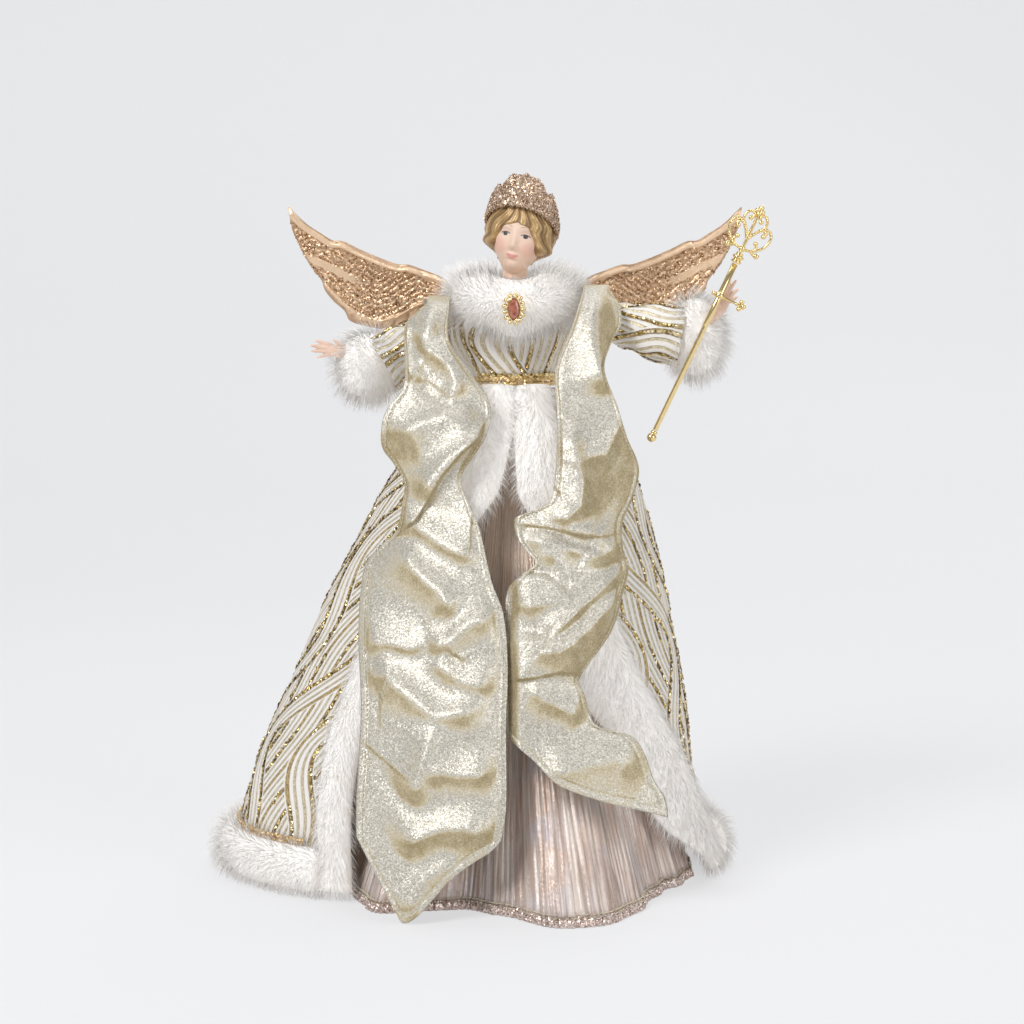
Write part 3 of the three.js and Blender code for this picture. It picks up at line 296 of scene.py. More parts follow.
def steelFinish(d):
    drawn = d.noise(0.8, 3)
    return {
        "Base Color": d.tint(drawn, (0.42, 0.40, 0.37), (0.62, 0.60, 0.56)),
        "Metallic": 1.0,
        "Roughness": drawn * 0.25 + 0.28,
        "Normal": d.relief(drawn, 0.04),
    }


def foilFinish(d):  # crushed rose foil on cloth: streaks of copper, silver and lilac down the pleats
    u, v, _ = d.axes(d.uv())
    streakAt = d.point(u, v * 0.035)
    streak = d.noise(2.4, 3, streakAt)
    broad = d.noise(9, 2, streakAt)
    cloud = d.noise(26, 2)
    lilac = d.tint(d.between(cloud, 0.42, 0.62), (0.72, 0.53, 0.43), (0.66, 0.60, 0.62))
    pale = d.tint(d.between(broad, 0.42, 0.60), lilac, (0.90, 0.79, 0.70))
    dark = d.tint(d.between(streak, 0.34, 0.5), (0.46, 0.31, 0.23), pale)
    thread = d.noise(1.5, 2, streakAt)
    dark = d.tint(d.between(thread, 0.56, 0.62) * 0.8, dark, (0.95, 0.90, 0.86))
    dark = d.tint(d.between(thread, 0.43, 0.38) * 0.7, dark, (0.36, 0.24, 0.17))
    # darker and duller towards the hem; near the top the foil is painted lighter and less metallic, as
    # painted light where it sits in shade between the fur strips
    low = d.between(v, 0.16, 0.03)
    high = d.between(v, 0.12, 0.2)
    colour = d.tint(low * 0.45, d.tint(high * 0.7, dark, (1.0, 0.82, 0.67)), (0.52, 0.44, 0.41))
    crackle = d.cells(0.55)
    return {
        "Base Color": colour,
        "Metallic": streak * 0.3 + 0.42 - high * 0.3 - low * 0.2,
        "Roughness": crackle * 0.2 + 0.36,
        "Normal": d.glints(0.6, 0.34, d.relief(streak, 0.5)),
    }


def coatFinish(d):  # white flock between lines of gold, on the same lines as the rows of sequins
    u, v, _ = d.axes(d.uv())
    s, turn = u / mm, v * (2 * pi / wave["length"] / mm)
    swing = d.sine(turn)
    slope = turn.maths("COSINE") * (wave["swing"] * 2 * pi / wave["length"])
    ribbon = (s - swing * wave["swing"]) / wave["ribbon"] + 100.5
    across = (ribbon.maths("FRACT") - 0.5).maths("ABSOLUTE") * (wave["ribbon"] / wave["pitch"])
    across = across / (slope * slope + 1).maths("SQRT")
    fill = (s + swing * wave["counter"]) / wave["pitch"] + 300
    inside = d.between(across, 2.04, 1.98)
    onRibbon = (across.maths("FRACT") - 0.5).maths("ABSOLUTE") * 2
    onFill = fill.maths("PINGPONG", 0.5) * 2
    ridge = onFill + (onRibbon - onFill) * inside  # 0 on a line of gold, 1 between two
    strongFill = d.between(((fill / 3).maths("FRACT") - 0.5).maths("ABSOLUTE"), 0.31, 0.35)
    strong = strongFill + (d.between(across, 0.97, 1.03) - strongFill) * inside
    white = d.between(ridge - strong * 0.2, 0.29, 0.46)
    sparkle = d.axes(d.cells(0.8, output="Color"))[0]
    paleGold = d.tint(sparkle, (0.50, 0.41, 0.25), (0.86, 0.77, 0.56))
    deepGold = d.tint(sparkle, (0.26, 0.17, 0.06), (0.78, 0.60, 0.28))
    flock = d.tint(d.noise(1.6, 3), (0.80, 0.755, 0.71), (0.90, 0.87, 0.83))
    pile = d.noise(0.5, 3) * 0.3
    return {
        "Base Color": d.tint(white, d.tint(strong, paleGold, deepGold), flock),
        "Metallic": (1 - white) * 0.5,
        "Roughness": white * 0.5 + 0.42,
        "Normal": d.relief(white * 0.8 + pile, 0.7),
    }


def furFinish(d):  # strands are lit as the pile's surface, so that the pile stays white
    warm = d.noise(16, 2)
    lie = d.stored("furNormal", "Vector")
    own = d.vectors("SCALE", d.add("ShaderNodeNewGeometry", output="Normal"), scale=0.4)
    return {
        "Base Color": d.tint(d.between(warm, 0.35, 0.7), (0.96, 0.945, 0.925), (0.94, 0.91, 0.87)),
        "Roughness": 0.9,
        "Normal": d.vectors("NORMALIZE", d.vectors("ADD", own, lie)),
    }


def sequinFinish(d):
    chance = d.axes(d.cells(1.4, output="Color"))[0]
    colours = [(0, (0.16, 0.10, 0.035)), (0.3, (0.42, 0.28, 0.09)), (0.6, (0.78, 0.60, 0.26)),
               (1, (0.97, 0.91, 0.70))]
    return {
        "Base Color": d.add("ShaderNodeValToRGB", {"stops": colours}, {0: chance}),
        "Metallic": 1.0,
        "Roughness": 0.26,
        "Normal": d.glints(1.3, 0.45),
    }


def lameFinish(d):  # woven metal cloth: fine silver flakes as painted highlights where the cloth faces the light, over a warm ground that is darker, as painted shade, on the turns that face away
    flake = d.axes(d.cells(0.55, output="Color"))[0]
    cloud = d.noise(9, 3)
    paintedLit = d.stored("nap")
    # painted shade: the warm ground is darker where the cloth turns away from the light, mixed with a random
    # cloud of tone
    toneAndPaintedShade = d.between(cloud * 0.8 + paintedLit * 0.9 + flake * 0.35, 0.3, 1.0)
    ground = d.tint(toneAndPaintedShade, (0.36, 0.285, 0.15), (0.62, 0.53, 0.355))
    silver = d.tint(flake, (0.37, 0.345, 0.29), (0.82, 0.785, 0.70))
    # painted highlight: the silver flakes take over where the cloth faces the light
    speck = d.between(flake * 0.5 + cloud * 0.2 + paintedLit * 0.8, 0.42, 1.12)
    return {
        "Base Color": d.tint(speck, ground, silver),
        "Metallic": speck * 0.3 + 0.3,
        "Roughness": 0.6 - speck * 0.14,
        "Normal": d.glints(0.5, 0.38),
    }


def threadFinish(d):
    return {
        "Base Color": d.tint(d.noise(1.5), (0.50, 0.44, 0.30), (0.74, 0.68, 0.52)),
        "Roughness": 0.6,
    }


def hairFinish(d):  # honey paint, darker in the grooves and lighter gold on the crests
    depth = d.stored("crest")
    patch = d.noise(5, 3)
    base = d.tint(d.between(depth, 0.15, 0.8), (0.21, 0.12, 0.045), (0.47, 0.30, 0.13))
    return {
        "Base Color": d.tint(d.between(patch + depth * 0.4, 0.7, 1.0), base, (0.64, 0.44, 0.22)),
        "Metallic": depth * 0.35,
        "Roughness": 0.42 - depth * 0.1,
        "Normal": d.relief(d.noise(0.7, 2), 0.12),
    }


def skinFinish(d):  # matt painted skin; the features are painted by place on the head
    x, y, z = d.axes(d.stored("onHead", "Vector"))
    side = x.maths("ABSOLUTE")
    front = d.between(y, -4.0, -8.0)

    def spot(cx, cz, rx, rz, soft=0.25):  # 1 inside an oval on both sides of the face
        away = ((side - cx) / rx) ** 2 + ((z - cz) / rz) ** 2
        return d.between(away, 1 + soft, 1 - soft) * front

    mottle = d.noise(7, 3)
    skin = d.tint(mottle, (0.78, 0.56, 0.43), (0.84, 0.64, 0.51))
    skin = d.tint(spot(8.4, -7.2, 4.6, 4.0, 0.95) * 0.55, skin, (0.78, 0.42, 0.34))
    lid = d.tint(spot(5.9, 1.9, 3.2, 1.9, 0.8) * 0.45, skin, (0.60, 0.40, 0.32))
    browHeight = (side - 6.2) ** 2 * -0.055 + 5.6
    brow = d.between((z - browHeight).maths("ABSOLUTE"), 0.62, 0.1) * spot(6.2, 5.4, 3.9, 3, 0.3)
    colour = d.tint(brow * 0.62, lid, (0.42, 0.25, 0.13))
    colour = d.tint(spot(5.9, 0.15, 2.4, 1.0, 0.2), colour, (0.62, 0.58, 0.55))
    iris = spot(5.9, 0.25, 1.35, 1.3, 0.2) * spot(5.9, 0.15, 2.5, 1.1, 0.2)
    colour = d.tint(iris, colour, (0.06, 0.045, 0.04))
    lashHeight = (side - 5.7) ** 2 * -0.13 + 1.28
    lash = d.between((z - lashHeight).maths("ABSOLUTE"), 0.42, 0.16) * spot(5.9, 0.8, 2.9, 1.6, 0.15)
    colour = d.tint(lash, colour, (0.07, 0.05, 0.05))
    curve = z - side ** 2 * 0.075
    lips = d.between((side / 3.5) ** 2 + ((curve + 12.0) / 1.25) ** 2, 1.25, 0.8) * front
    colour = d.tint(lips * 0.85, colour, (0.78, 0.33, 0.32))
    parting = d.between((curve + 11.9).maths("ABSOLUTE"), 0.28, 0.05) * d.between(side, 3.4, 2.6) * front
    colour = d.tint(parting * 0.7, colour, (0.50, 0.20, 0.18))
    return {"Base Color": colour, "Roughness": mottle * 0.1 + 0.42, "Normal": d.relief(d.noise(0.9, 2), 0.03)}


def handFinish(d):
    mottle = d.noise(4, 3)
    return {
        "Base Color": d.tint(mottle, (0.74, 0.50, 0.38), (0.84, 0.63, 0.51)),
        "Roughness": 0.45,
        "Normal": d.relief(mottle, 0.05),
    }


def glitterFinish(low, high, rough):  # coarse glitter in a metallic paint
    def build(d):
        flake = d.axes(d.cells(0.8, output="Color"))[0]
        return {
            "Base Color": d.tint(flake, low, high),
            "Metallic": 0.9,
            "Roughness": flake * 0.2 + rough,
            "Normal": d.glints(0.8, 0.7),
        }

    return build


def wingFinish(d):  # brushed copper paint over moulded feathers, darker in the grooves
    depth = d.stored("crest")
    patch = d.noise(7, 3)
    base = d.tint(d.between(depth, 0.1, 0.7), (0.38, 0.21, 0.11), (0.84, 0.60, 0.40))
    return {
        "Base Color": d.tint(patch * 0.5, base, (0.90, 0.70, 0.50)),
        "Metallic": 0.7,
        "Roughness": patch * 0.2 + 0.30,
        "Normal": d.glints(0.7, 0.14, d.relief(d.noise(0.8, 2), 0.15)),
    }


def goldFinish(d):
    wear = d.noise(2.2, 3)
    return {
        "Base Color": d.tint(wear, (0.83, 0.62, 0.27), (0.93, 0.77, 0.44)),
        "Metallic": 1.0,
        "Roughness": wear * 0.1 + 0.12,
        "Normal": d.relief(wear, 0.03),
    }


def stoneFinish(deep, pale):
    def build(d):
        return {"Base Color": d.tint(d.cells(2.4, output="Distance"), deep, pale), "Roughness": 0.05}

    return build


# S-shaped ribbons of four lines stand side by side, and lines that lean the other way fill the gaps

wave = {"pitch": 4.7, "ribbon": 47.0, "length": 112.0, "swing": 16.5, "counter": 6.0}

stoneGloss = {"IOR": 1.6, "Coat_Weight": 1.0}

finishes = {
    "card": finish("windingCard", cardFinish),
    "muslin": finish("stuffedMuslin", muslinFinish),
    "wood": finish("dowelWood", woodFinish),
    "steel": finish("drawnWire", steelFinish),
    "foil": finish("crushedRoseFoil", foilFinish),
    "coat": finish("wavedPlush", coatFinish, Sheen_Weight=0.25, Sheen_Roughness=0.5),
    # the white pile glows faintly (warm white, strength 0.18): painted light in place of the light that
    # scatters inside real pile
    "fur": finish("whiteLongPileGlowing", furFinish, Emission_Color=(1, 0.93, 0.86, 1), Emission_Strength=0.18),
    "sequin": finish("goldSequin", sequinFinish),
    "lame": finish("champagneLame", lameFinish),
    "thread": finish("champagneThread", threadFinish),
    "braid": finish("goldBraid", glitterFinish((0.56, 0.36, 0.14), (0.95, 0.73, 0.40), 0.3)),
    "hair": finish("honeyHairPaint", hairFinish),
    "skin": finish("paintedFace", skinFinish),
    "hands": finish("paintedHands", handFinish),
    "crown": finish("crownGlitter", glitterFinish((0.36, 0.23, 0.14), (0.82, 0.66, 0.53), 0.25)),
    "tape": finish("hemGlitter", glitterFinish((0.50, 0.36, 0.30), (0.93, 0.83, 0.78), 0.25)),
    "wing": finish("copperPaint", wingFinish),
    "wingGrain": finish("copperGlitter", glitterFinish((0.34, 0.18, 0.085), (0.95, 0.73, 0.50), 0.22)),
    "gold": finish("polishedGold", goldFinish),
    "amber": finish("amberRoseStone", stoneFinish((0.16, 0.03, 0.02), (0.52, 0.17, 0.10)), **stoneGloss),
    "clear": finish("clearStone", stoneFinish((0.75, 0.62, 0.45), (0.95, 0.90, 0.82)), **stoneGloss),
}
print("finishes made:", len(finishes))


# Meshes

def linked(name, data):
    obj = bpy.data.objects.new(name, data)
    bpy.context.scene.collection.objects.link(obj)
    return obj


def storeOn(mesh, label, value):  # a number or a vector for each point
    value = np.asarray(value, np.float32)
    kind, field = ("FLOAT_VECTOR", "vector") if value.ndim > 1 else ("FLOAT", "value")
    mesh.attributes.new(label, kind, "POINT").data.foreach_set(field, value.ravel())


def pieceFrom(name, points, faces, look, uv=None, values=None, smoothFaces=True):
    mesh = bpy.data.meshes.new(name)
    mesh.from_pydata(((np.asarray(points, float) + dollAxis) * mm).tolist(), [], faces)
    if uv is not None:
        layer = mesh.uv_layers.new(name="UVMap")
        layer.data.foreach_set("uv", np.asarray(uv, np.float32).ravel())
    for label, value in (values or {}).items():
        storeOn(mesh, label, value)
    mesh.polygons.foreach_set("use_smooth", [smoothFaces] * len(mesh.polygons))
    mesh.materials.append(finishes[look])
    return linked(name, mesh)


def faceOut(obj):  # on a closed mesh, makes every face point outwards
    work = bmesh.new()
    work.from_mesh(obj.data)
    bmesh.ops.remove_doubles(work, verts=work.verts, dist=1e-7)
    bmesh.ops.recalc_face_normals(work, faces=work.faces)
    work.to_mesh(obj.data)
    work.free()
    return obj


def gridFaces(columns, rows, wrapped):
    across = columns if wrapped else columns + 1
    c, r = np.meshgrid(np.arange(columns), np.arange(rows))
    a = r * across + c
    b = r * across + (c + 1) % across
    return np.stack([a, b, b + across, a + across], -1).reshape(-1, 4)


def shares(columns, rows, across=(0, 1), along=(0, 1)):  # grids of the shares across and along a surface
    v, u = np.meshgrid(np.linspace(*along, rows), np.linspace(*across, columns), indexing="ij")
    return u, v


def clothPiece(name, point, columns, rows, look, wrapped=False, flat=None, values=None):
    # point(u, v) is the surface, flat(u, v) the same point on the uncut cloth, in mm
    u, v = shares(columns + 1, rows + 1)
    spots = point(u, v)
    faces = gridFaces(columns, rows, wrapped)
    onFlat = flat(u, v) if flat else np.stack([u * 100, v * 100], -1)
    corner = gridFaces(columns, rows, False)
    uv = onFlat.reshape(-1, 2)[corner].reshape(-1, 2) * mm
    if wrapped:
        spots = spots[:, :-1]
    across, along = spots[1:-1, 1:] - spots[1:-1, :-1], spots[2:, :-1] - spots[1:-1, :-1]
    away = np.cross(across, along)
    away = (away * spots[1:-1, :-1] * (1, 1, 0)).sum()
    if away < 0:
        faces = faces[:, ::-1]
        uv = uv.reshape(-1, 4, 2)[:, ::-1].reshape(-1, 2)
    data = {}
    for label, value in (values or {}).items():
        shown = value(u, v)[:, : spots.shape[1]]
        data[label] = shown.reshape(spots.shape[0] * spots.shape[1], -1).squeeze()
    return pieceFrom(name, spots.reshape(-1, 3), faces.tolist(), look, uv, data)


def ringPiece(name, rings, look, values=None, closed=False, smoothFaces=True):
    # a closed body through rings of points; closed joins the last ring to the first
    rings = np.asarray(rings, float)
    count, sides = rings.shape[:2]
    points = rings.reshape(-1, 3)
    faces = gridFaces(sides, count - 1, True).tolist()
    if closed:
        last = (count - 1) * sides
        faces += [[last + i, last + (i + 1) % sides, (i + 1) % sides, i] for i in range(sides)]
    else:
        faces.append(list(range(sides))[::-1])
        faces.append([(count - 1) * sides + i for i in range(sides)])
    return faceOut(pieceFrom(name, points, faces, look, None, values, smoothFaces))


def ovals(centre, halfA, halfB, sides):  # rings of points round each centre
    turn = np.linspace(0, 2 * pi, sides, endpoint=False)[None, :, None]
    centre, halfA, halfB = [np.asarray(a, float)[:, None, :] for a in (centre, halfA, halfB)]
    return centre + halfA * np.cos(turn) + halfB * np.sin(turn)


def limbRings(points, radiusAt, steps, sides, flat=1.0):  # round sections along a line
    line = path(*points)
    t = np.linspace(0, 1, steps + 1)
    centre = line(t)
    tangent = unit(line(np.minimum(t + 0.01, 1)) - line(np.maximum(t - 0.01, 0)))
    first = unit(np.cross(tangent[0], (0, 1, 0.02)))
    normals = []
    for way in tangent:
        first = unit(first - way * (first @ way))
        normals.append(first)
    normals = np.array(normals)
    radius = np.array([radiusAt(a) for a in t])[:, None]
    return ovals(centre, normals * radius, np.cross(tangent, normals) * radius * flat, sides)


def lathePiece(name, outline, foot, way, look, sides=40):  # turned on the line from foot
    way = unit(way)
    side = unit(np.cross(way, (0, 1, 0)))
    front = np.cross(side, way)
    outline = np.array(outline, float)
    turn = np.linspace(0, 2 * pi, sides, endpoint=False)
    around = side * np.cos(turn)[:, None] + front * np.sin(turn)[:, None]
    radius, along = np.maximum(outline[:, 0], 0.01)[:, None, None], outline[:, 1][:, None, None]
    return ringPiece(name, foot + way * along + around[None] * radius, look)


def evaluated(obj, name, look=None):  # the result of an object's modifiers as a new plain mesh
    graph = bpy.context.evaluated_depsgraph_get()
    mesh = bpy.data.meshes.new_from_object(obj.evaluated_get(graph))
    mesh.name = name
    if look:
        mesh.materials.clear()
        mesh.materials.append(finishes[look])
    return linked(name, mesh)


def remove(*objs):
    for obj in objs:
        bpy.data.objects.remove(obj)


def joined(name, *objs):
    bpy.ops.object.select_all(action="DESELECT")
    for obj in objs:
        obj.select_set(True)
    bpy.context.view_layer.objects.active = objs[0]
    bpy.ops.object.join()
    objs[0].name = name
    return objs[0]


def meld(name, objs, voxel, look, smoothing=4):  # one skin over several closed meshes
    body = joined(name + "Parts", *objs)
    skin = body.modifiers.new("skin", "REMESH")
    skin.mode, skin.voxel_size = "VOXEL", voxel * mm
    soften = body.modifiers.new("soften", "SMOOTH")
    soften.factor, soften.iterations = 0.5, smoothing
    made = evaluated(body, name, look)
    remove(body)
    made.data.polygons.foreach_set("use_smooth", [True] * len(made.data.polygons))
    return made


def thicken(obj, wall):
    layer = obj.modifiers.new("cloth", "SOLIDIFY")
    layer.thickness, layer.offset = wall * mm, -1
    return obj


def settle(obj, body, slotName, *nodes):  # rides on its body, and stands for its nodes
    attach(obj, body)
    if nodes:
        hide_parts(*nodes)
    return obj


# Geometry Nodes: strands, studs along a path, grains on a face, and the pleated skirt

def groupOf(name, sizes):
    tree = bpy.data.node_groups.new(name, "GeometryNodeTree")
    tree.interface.new_socket("Geometry", in_out="INPUT", socket_type="NodeSocketGeometry")
    kinds = {int: "NodeSocketInt", float: "NodeSocketFloat", str: "NodeSocketMaterial"}
    names = {}
    for label, value in sizes.items():
        socket = tree.interface.new_socket(label, in_out="INPUT", socket_type=kinds[type(value)])
        if not isinstance(value, str):
            socket.default_value = value
        names[label] = socket.identifier
    tree.interface.new_socket("Geometry", in_out="OUTPUT", socket_type="NodeSocketGeometry")
    draft = Draft(tree)
    entry = tree.nodes.new("NodeGroupInput")
    given = {label: Flow(draft, entry.outputs[label]) for label in ["Geometry", *sizes]}
    return draft, given, (tree, names)


def closeGroup(draft, shapes, given, smoothFaces=True):
    whole = draft.add("GeometryNodeRealizeInstances", None, {0: shapes})
    whole = draft.add("GeometryNodeSetShadeSmooth", None, {0: whole, "Shade Smooth": smoothFaces})
    whole = draft.add("GeometryNodeSetMaterial", None, {0: whole, "Material": given["Finish"]})
    output = draft.tree.nodes.new("NodeGroupOutput")
    draft.tree.links.new(whole.socket, output.inputs[0])


def grow(base, group, name, look, keepBase=True, **sizes):  # runs a group on base, and keeps a plain mesh
    tree, names = group
    modifier = base.modifiers.new("grow", "NODES")
    modifier.node_group = tree
    modifier[names["Finish"]] = finishes[look]
    for label, value in sizes.items():
        modifier[names[label]] = value
    made = evaluated(base, name)
    base.modifiers.remove(modifier)
    if not keepBase:
        remove(base)
    return made


def randomVector(draft, low, high, seed):
    inputs = {0: (low,) * 3, 1: (high,) * 3, "Seed": seed}
    return draft.add("FunctionNodeRandomValue", {"data_type": "FLOAT_VECTOR"}, inputs, 0)


def randomNumber(draft, low, high, seed):
    return draft.add("FunctionNodeRandomValue", {"data_type": "FLOAT"}, {2: low, 3: high, "Seed": seed}, 1)


def alignZ(draft, vector):
    return draft.add("FunctionNodeAlignRotationToVector", {"axis": "Z"}, {"Vector": vector})


def spun(draft, rotation, turn):  # turned about its own axes by the euler turn
    euler = draft.add("FunctionNodeEulerToRotation", None, {0: turn})
    inputs = {"Rotation": rotation, "Rotate By": euler}
    return draft.add("FunctionNodeRotateRotation", {"rotation_space": "LOCAL"}, inputs)


def named(draft, label, kind="FLOAT_VECTOR"):
    return draft.add("GeometryNodeInputNamedAttribute", {"data_type": kind}, {"Name": label})


def scattered(d, given):  # points on the base, as dense as its cover asks
    density = given["Density"] * named(d, "cover", "FLOAT")
    inputs = {"Mesh": given["Geometry"], "Density": density, "Seed": given["Seed"]}
    return d.add("GeometryNodeDistributePointsOnFaces", None, inputs)


def furGroup():  # curved tapering strands that follow the comb direction stored on the base
    sizes = {"Density": 1.0, "Length": 0.008, "Thickness": 0.0004, "Lean": 1.0, "Wild": 0.5, "Curl": 0.3,
             "Seed": 1, "Finish": ""}
    d, given, group = groupOf("furStrands", sizes)
    scatter = scattered(d, given)
    normal = Flow(d, scatter.socket.node.outputs["Normal"])
    inputs = {"Vector": d.add("GeometryNodeInputPosition"), "Scale": 150.0, "Detail": 2.0}
    tuft = d.vectors("SUBTRACT", d.add("ShaderNodeTexNoise", None, inputs, "Color"), (0.5, 0.5, 0.5))
    way = d.vectors("ADD", normal, d.vectors("SCALE", named(d, "comb"), scale=given["Lean"]))
    way = d.vectors("ADD", way, d.vectors("SCALE", tuft, scale=given["Wild"] * 3.5))
    way = d.vectors("ADD", way, d.vectors("SCALE", randomVector(d, -1, 1, 7), scale=given["Wild"] * 0.5))
    store = {"data_type": "FLOAT_VECTOR", "domain": "POINT"}
    inputs = {0: scatter, "Name": "furNormal", "Value": normal}
    points = d.add("GeometryNodeStoreNamedAttribute", store, inputs)
    along = {"Rotation": alignZ(d, way), "Vector": named(d, "comb")}
    along = d.add("FunctionNodeAlignRotationToVector", {"axis": "X", "pivot_axis": "Z"}, along)
    turn = d.point(z=randomNumber(d, -0.7, 0.7, 3))
    strand = d.add("GeometryNodeMeshCone", {"fill_type": "NONE"}, {
        "Vertices": 3, "Side Segments": 2, "Radius Top": 0.0,
        "Radius Bottom": given["Thickness"] * 0.5, "Depth": given["Length"],
    })
    height = d.axes(d.add("GeometryNodeInputPosition"))[2]
    bend = (height / given["Length"]) ** 2 * given["Length"] * given["Curl"]
    offset = d.point(bend, z=given["Length"] * -0.08)
    strand = d.add("GeometryNodeSetPosition", None, {0: strand, "Offset": offset})
    placed = d.add("GeometryNodeInstanceOnPoints", None, {
        "Points": points, "Instance": strand, "Rotation": spun(d, along, turn),
        "Scale": randomNumber(d, 0.55, 1.1, 5),
    })
    closeGroup(d, placed, given)
    return group


def studShape(d, given, kind):
    size = given["Size"]
    if kind == "sequin":
        sizes = {"Vertices": 6, "Radius Top": 0.0, "Radius Bottom": size * 0.5, "Depth": size * 0.22}
        return d.add("GeometryNodeMeshCone", {"fill_type": "TRIANGLE_FAN"}, sizes)
    if kind == "disc":
        sizes = {"Vertices": 12, "Radius Top": size * 0.15, "Radius Bottom": size * 0.5, "Depth": size * 0.14}
        return d.add("GeometryNodeMeshCone", {"fill_type": "NGON"}, sizes)
    if kind == "bead":
        return d.add("GeometryNodeMeshIcoSphere", None, {"Radius": size * 0.5, "Subdivisions": 2})
    wide, high = (0.3, 0.26) if kind == "stitch" else (0.8, 0.45)
    return d.add("GeometryNodeMeshCube", None, {"Size": d.point(size, size * wide, size * high)})


def studGroup(kind):  # studs set along a path, turned to the way that the path faces
    sizes = {"Spacing": 0.001, "Size": 0.001, "Tilt": 0.3, "Spread": 0.0, "Seed": 1, "Finish": ""}
    d, given, group = groupOf(kind + "Row", sizes)
    line = d.add("GeometryNodeMeshToCurve", None, {0: given["Geometry"]})
    line = d.add("GeometryNodeResampleCurve", {"mode": "LENGTH"}, {"Curve": line, "Length": given["Spacing"]})
    aside = d.vectors("SCALE", randomVector(d, -1, 1, given["Seed"] + 11), scale=given["Spread"])
    line = d.add("GeometryNodeSetPosition", None, {0: line, "Offset": aside})
    facing = alignZ(d, named(d, "facing"))
    inputs = {"Rotation": facing, "Vector": d.add("GeometryNodeInputTangent")}
    facing = d.add("FunctionNodeAlignRotationToVector", {"axis": "X", "pivot_axis": "Z"}, inputs)
    tilt = d.vectors("SCALE", randomVector(d, -1, 1, given["Seed"]), scale=given["Tilt"])
    placed = d.add("GeometryNodeInstanceOnPoints", None, {
        "Points": line, "Instance": studShape(d, given, kind), "Rotation": spun(d, facing, tilt),
        "Scale": randomNumber(d, 0.82, 1.15, given["Seed"] + 5),
    })
    closeGroup(d, placed, given, smoothFaces=kind == "bead")
    return group


def grainGroup():  # loose grains on a face, turned any way
    sizes = {"Density": 1.0, "Size": 0.0008, "Seed": 1, "Finish": ""}
    d, given, group = groupOf("glitterGrains", sizes)
    scatter = scattered(d, given)
    turn = d.add("FunctionNodeEulerToRotation", None, {0: randomVector(d, -3, 3, 2)})
    placed = d.add("GeometryNodeInstanceOnPoints", None, {
        "Points": scatter, "Instance": studShape(d, given, "grain"), "Rotation": turn,
        "Scale": randomNumber(d, 0.6, 1.25, 9),
    })
    closeGroup(d, placed, given, smoothFaces=False)
    return group


groups = {kind: studGroup(kind) for kind in ("sequin", "disc", "bead", "stitch")}
groups["fur"] = furGroup()
groups["grain"] = grainGroup()


def rowsAlong(name, lines, look, kind, **sizes):  # lines are (points, facing) pairs in mm
    points = np.concatenate([p for p, _ in lines])
    facing = np.concatenate([f for _, f in lines])
    edges, start = [], 0
    for p, _ in lines:
        edges += [(start + i, start + i + 1) for i in range(len(p) - 1)]
        start += len(p)
    mesh = bpy.data.meshes.new(name + "Path")
    mesh.from_pydata(((points + dollAxis) * mm).tolist(), edges, [])
    storeOn(mesh, "facing", facing)
    return grow(linked(name + "Path", mesh), groups[kind], name, look, keepBase=False, **sizes)


def furCoat(name, base, **sizes):  # strands on a base, joined to it
    strands = grow(base, groups["fur"], name + "Strands", "fur", **sizes)
    base = joined(name, base, strands)
    spots = np.empty(len(base.data.vertices) * 3, np.float32)
    base.data.vertices.foreach_get("co", spots)
    spots[2::3] = np.maximum(spots[2::3], floorZ + 0.2 * mm)
    base.data.vertices.foreach_set("co", spots)
    return base


def awayFrom(line, x, z):  # distance to a line of the front view, its side (1 or -1) and the share along it
    line = np.asarray(line, float)
    spot = np.stack([x, z], -1)[..., None, :]
    start, step = line[:-1], np.diff(line, axis=0)
    t = np.clip(((spot - start) * step).sum(-1) / (step ** 2).sum(-1), 0, 1)
    off = spot - start - t[..., None] * step
    gaps = np.linalg.norm(off, axis=-1)
    nearest = gaps.argmin(-1)[..., None]
    side = step[:, 0] * off[..., 1] - step[:, 1] * off[..., 0]
    lengths = np.linalg.norm(step, axis=1)
    along = (np.cumsum(lengths) - lengths + t * lengths) / lengths.sum()
    pick = lambda values: np.take_along_axis(values, nearest, -1)[..., 0]
    return pick(gaps), np.sign(pick(side)), pick(along)


def goldLines(low, high):
    # the cloth's strong lines between two places across it: where each lies and where it shows, by height
    turn = lambda z: z * 2 * pi / wave["length"]
    swing = lambda z: np.sin(turn(z)) * wave["swing"]
    slope = lambda z: np.cos(turn(z)) * wave["swing"] * 2 * pi / wave["length"]
    edge = lambda z: wave["pitch"] * np.sqrt(1 + slope(z) ** 2)
    everywhere = lambda z: np.ones(np.shape(z), bool)
    found = []
    for n in range(int(low / wave["ribbon"]) - 1, int(high / wave["ribbon"]) + 2):
        for side in (-1.5, 1.5):
            middle = lambda z, n=n, side=side: n * wave["ribbon"] + swing(z) + side * edge(z)
            found.append((middle, everywhere))
    for k in range(int(low / wave["pitch"]) // 3 * 3 - 3, int(high / wave["pitch"]) + 4, 3):
        middle = lambda z, k=k: k * wave["pitch"] - np.sin(turn(z)) * wave["counter"]

        def outside(z, middle=middle):  # the ribbons
            ribbon = (middle(z) - swing(z)) / wave["ribbon"]
            return np.abs(ribbon - np.round(ribbon)) * wave["ribbon"] > 2.1 * edge(z)

        found.append((middle, outside))
    return found


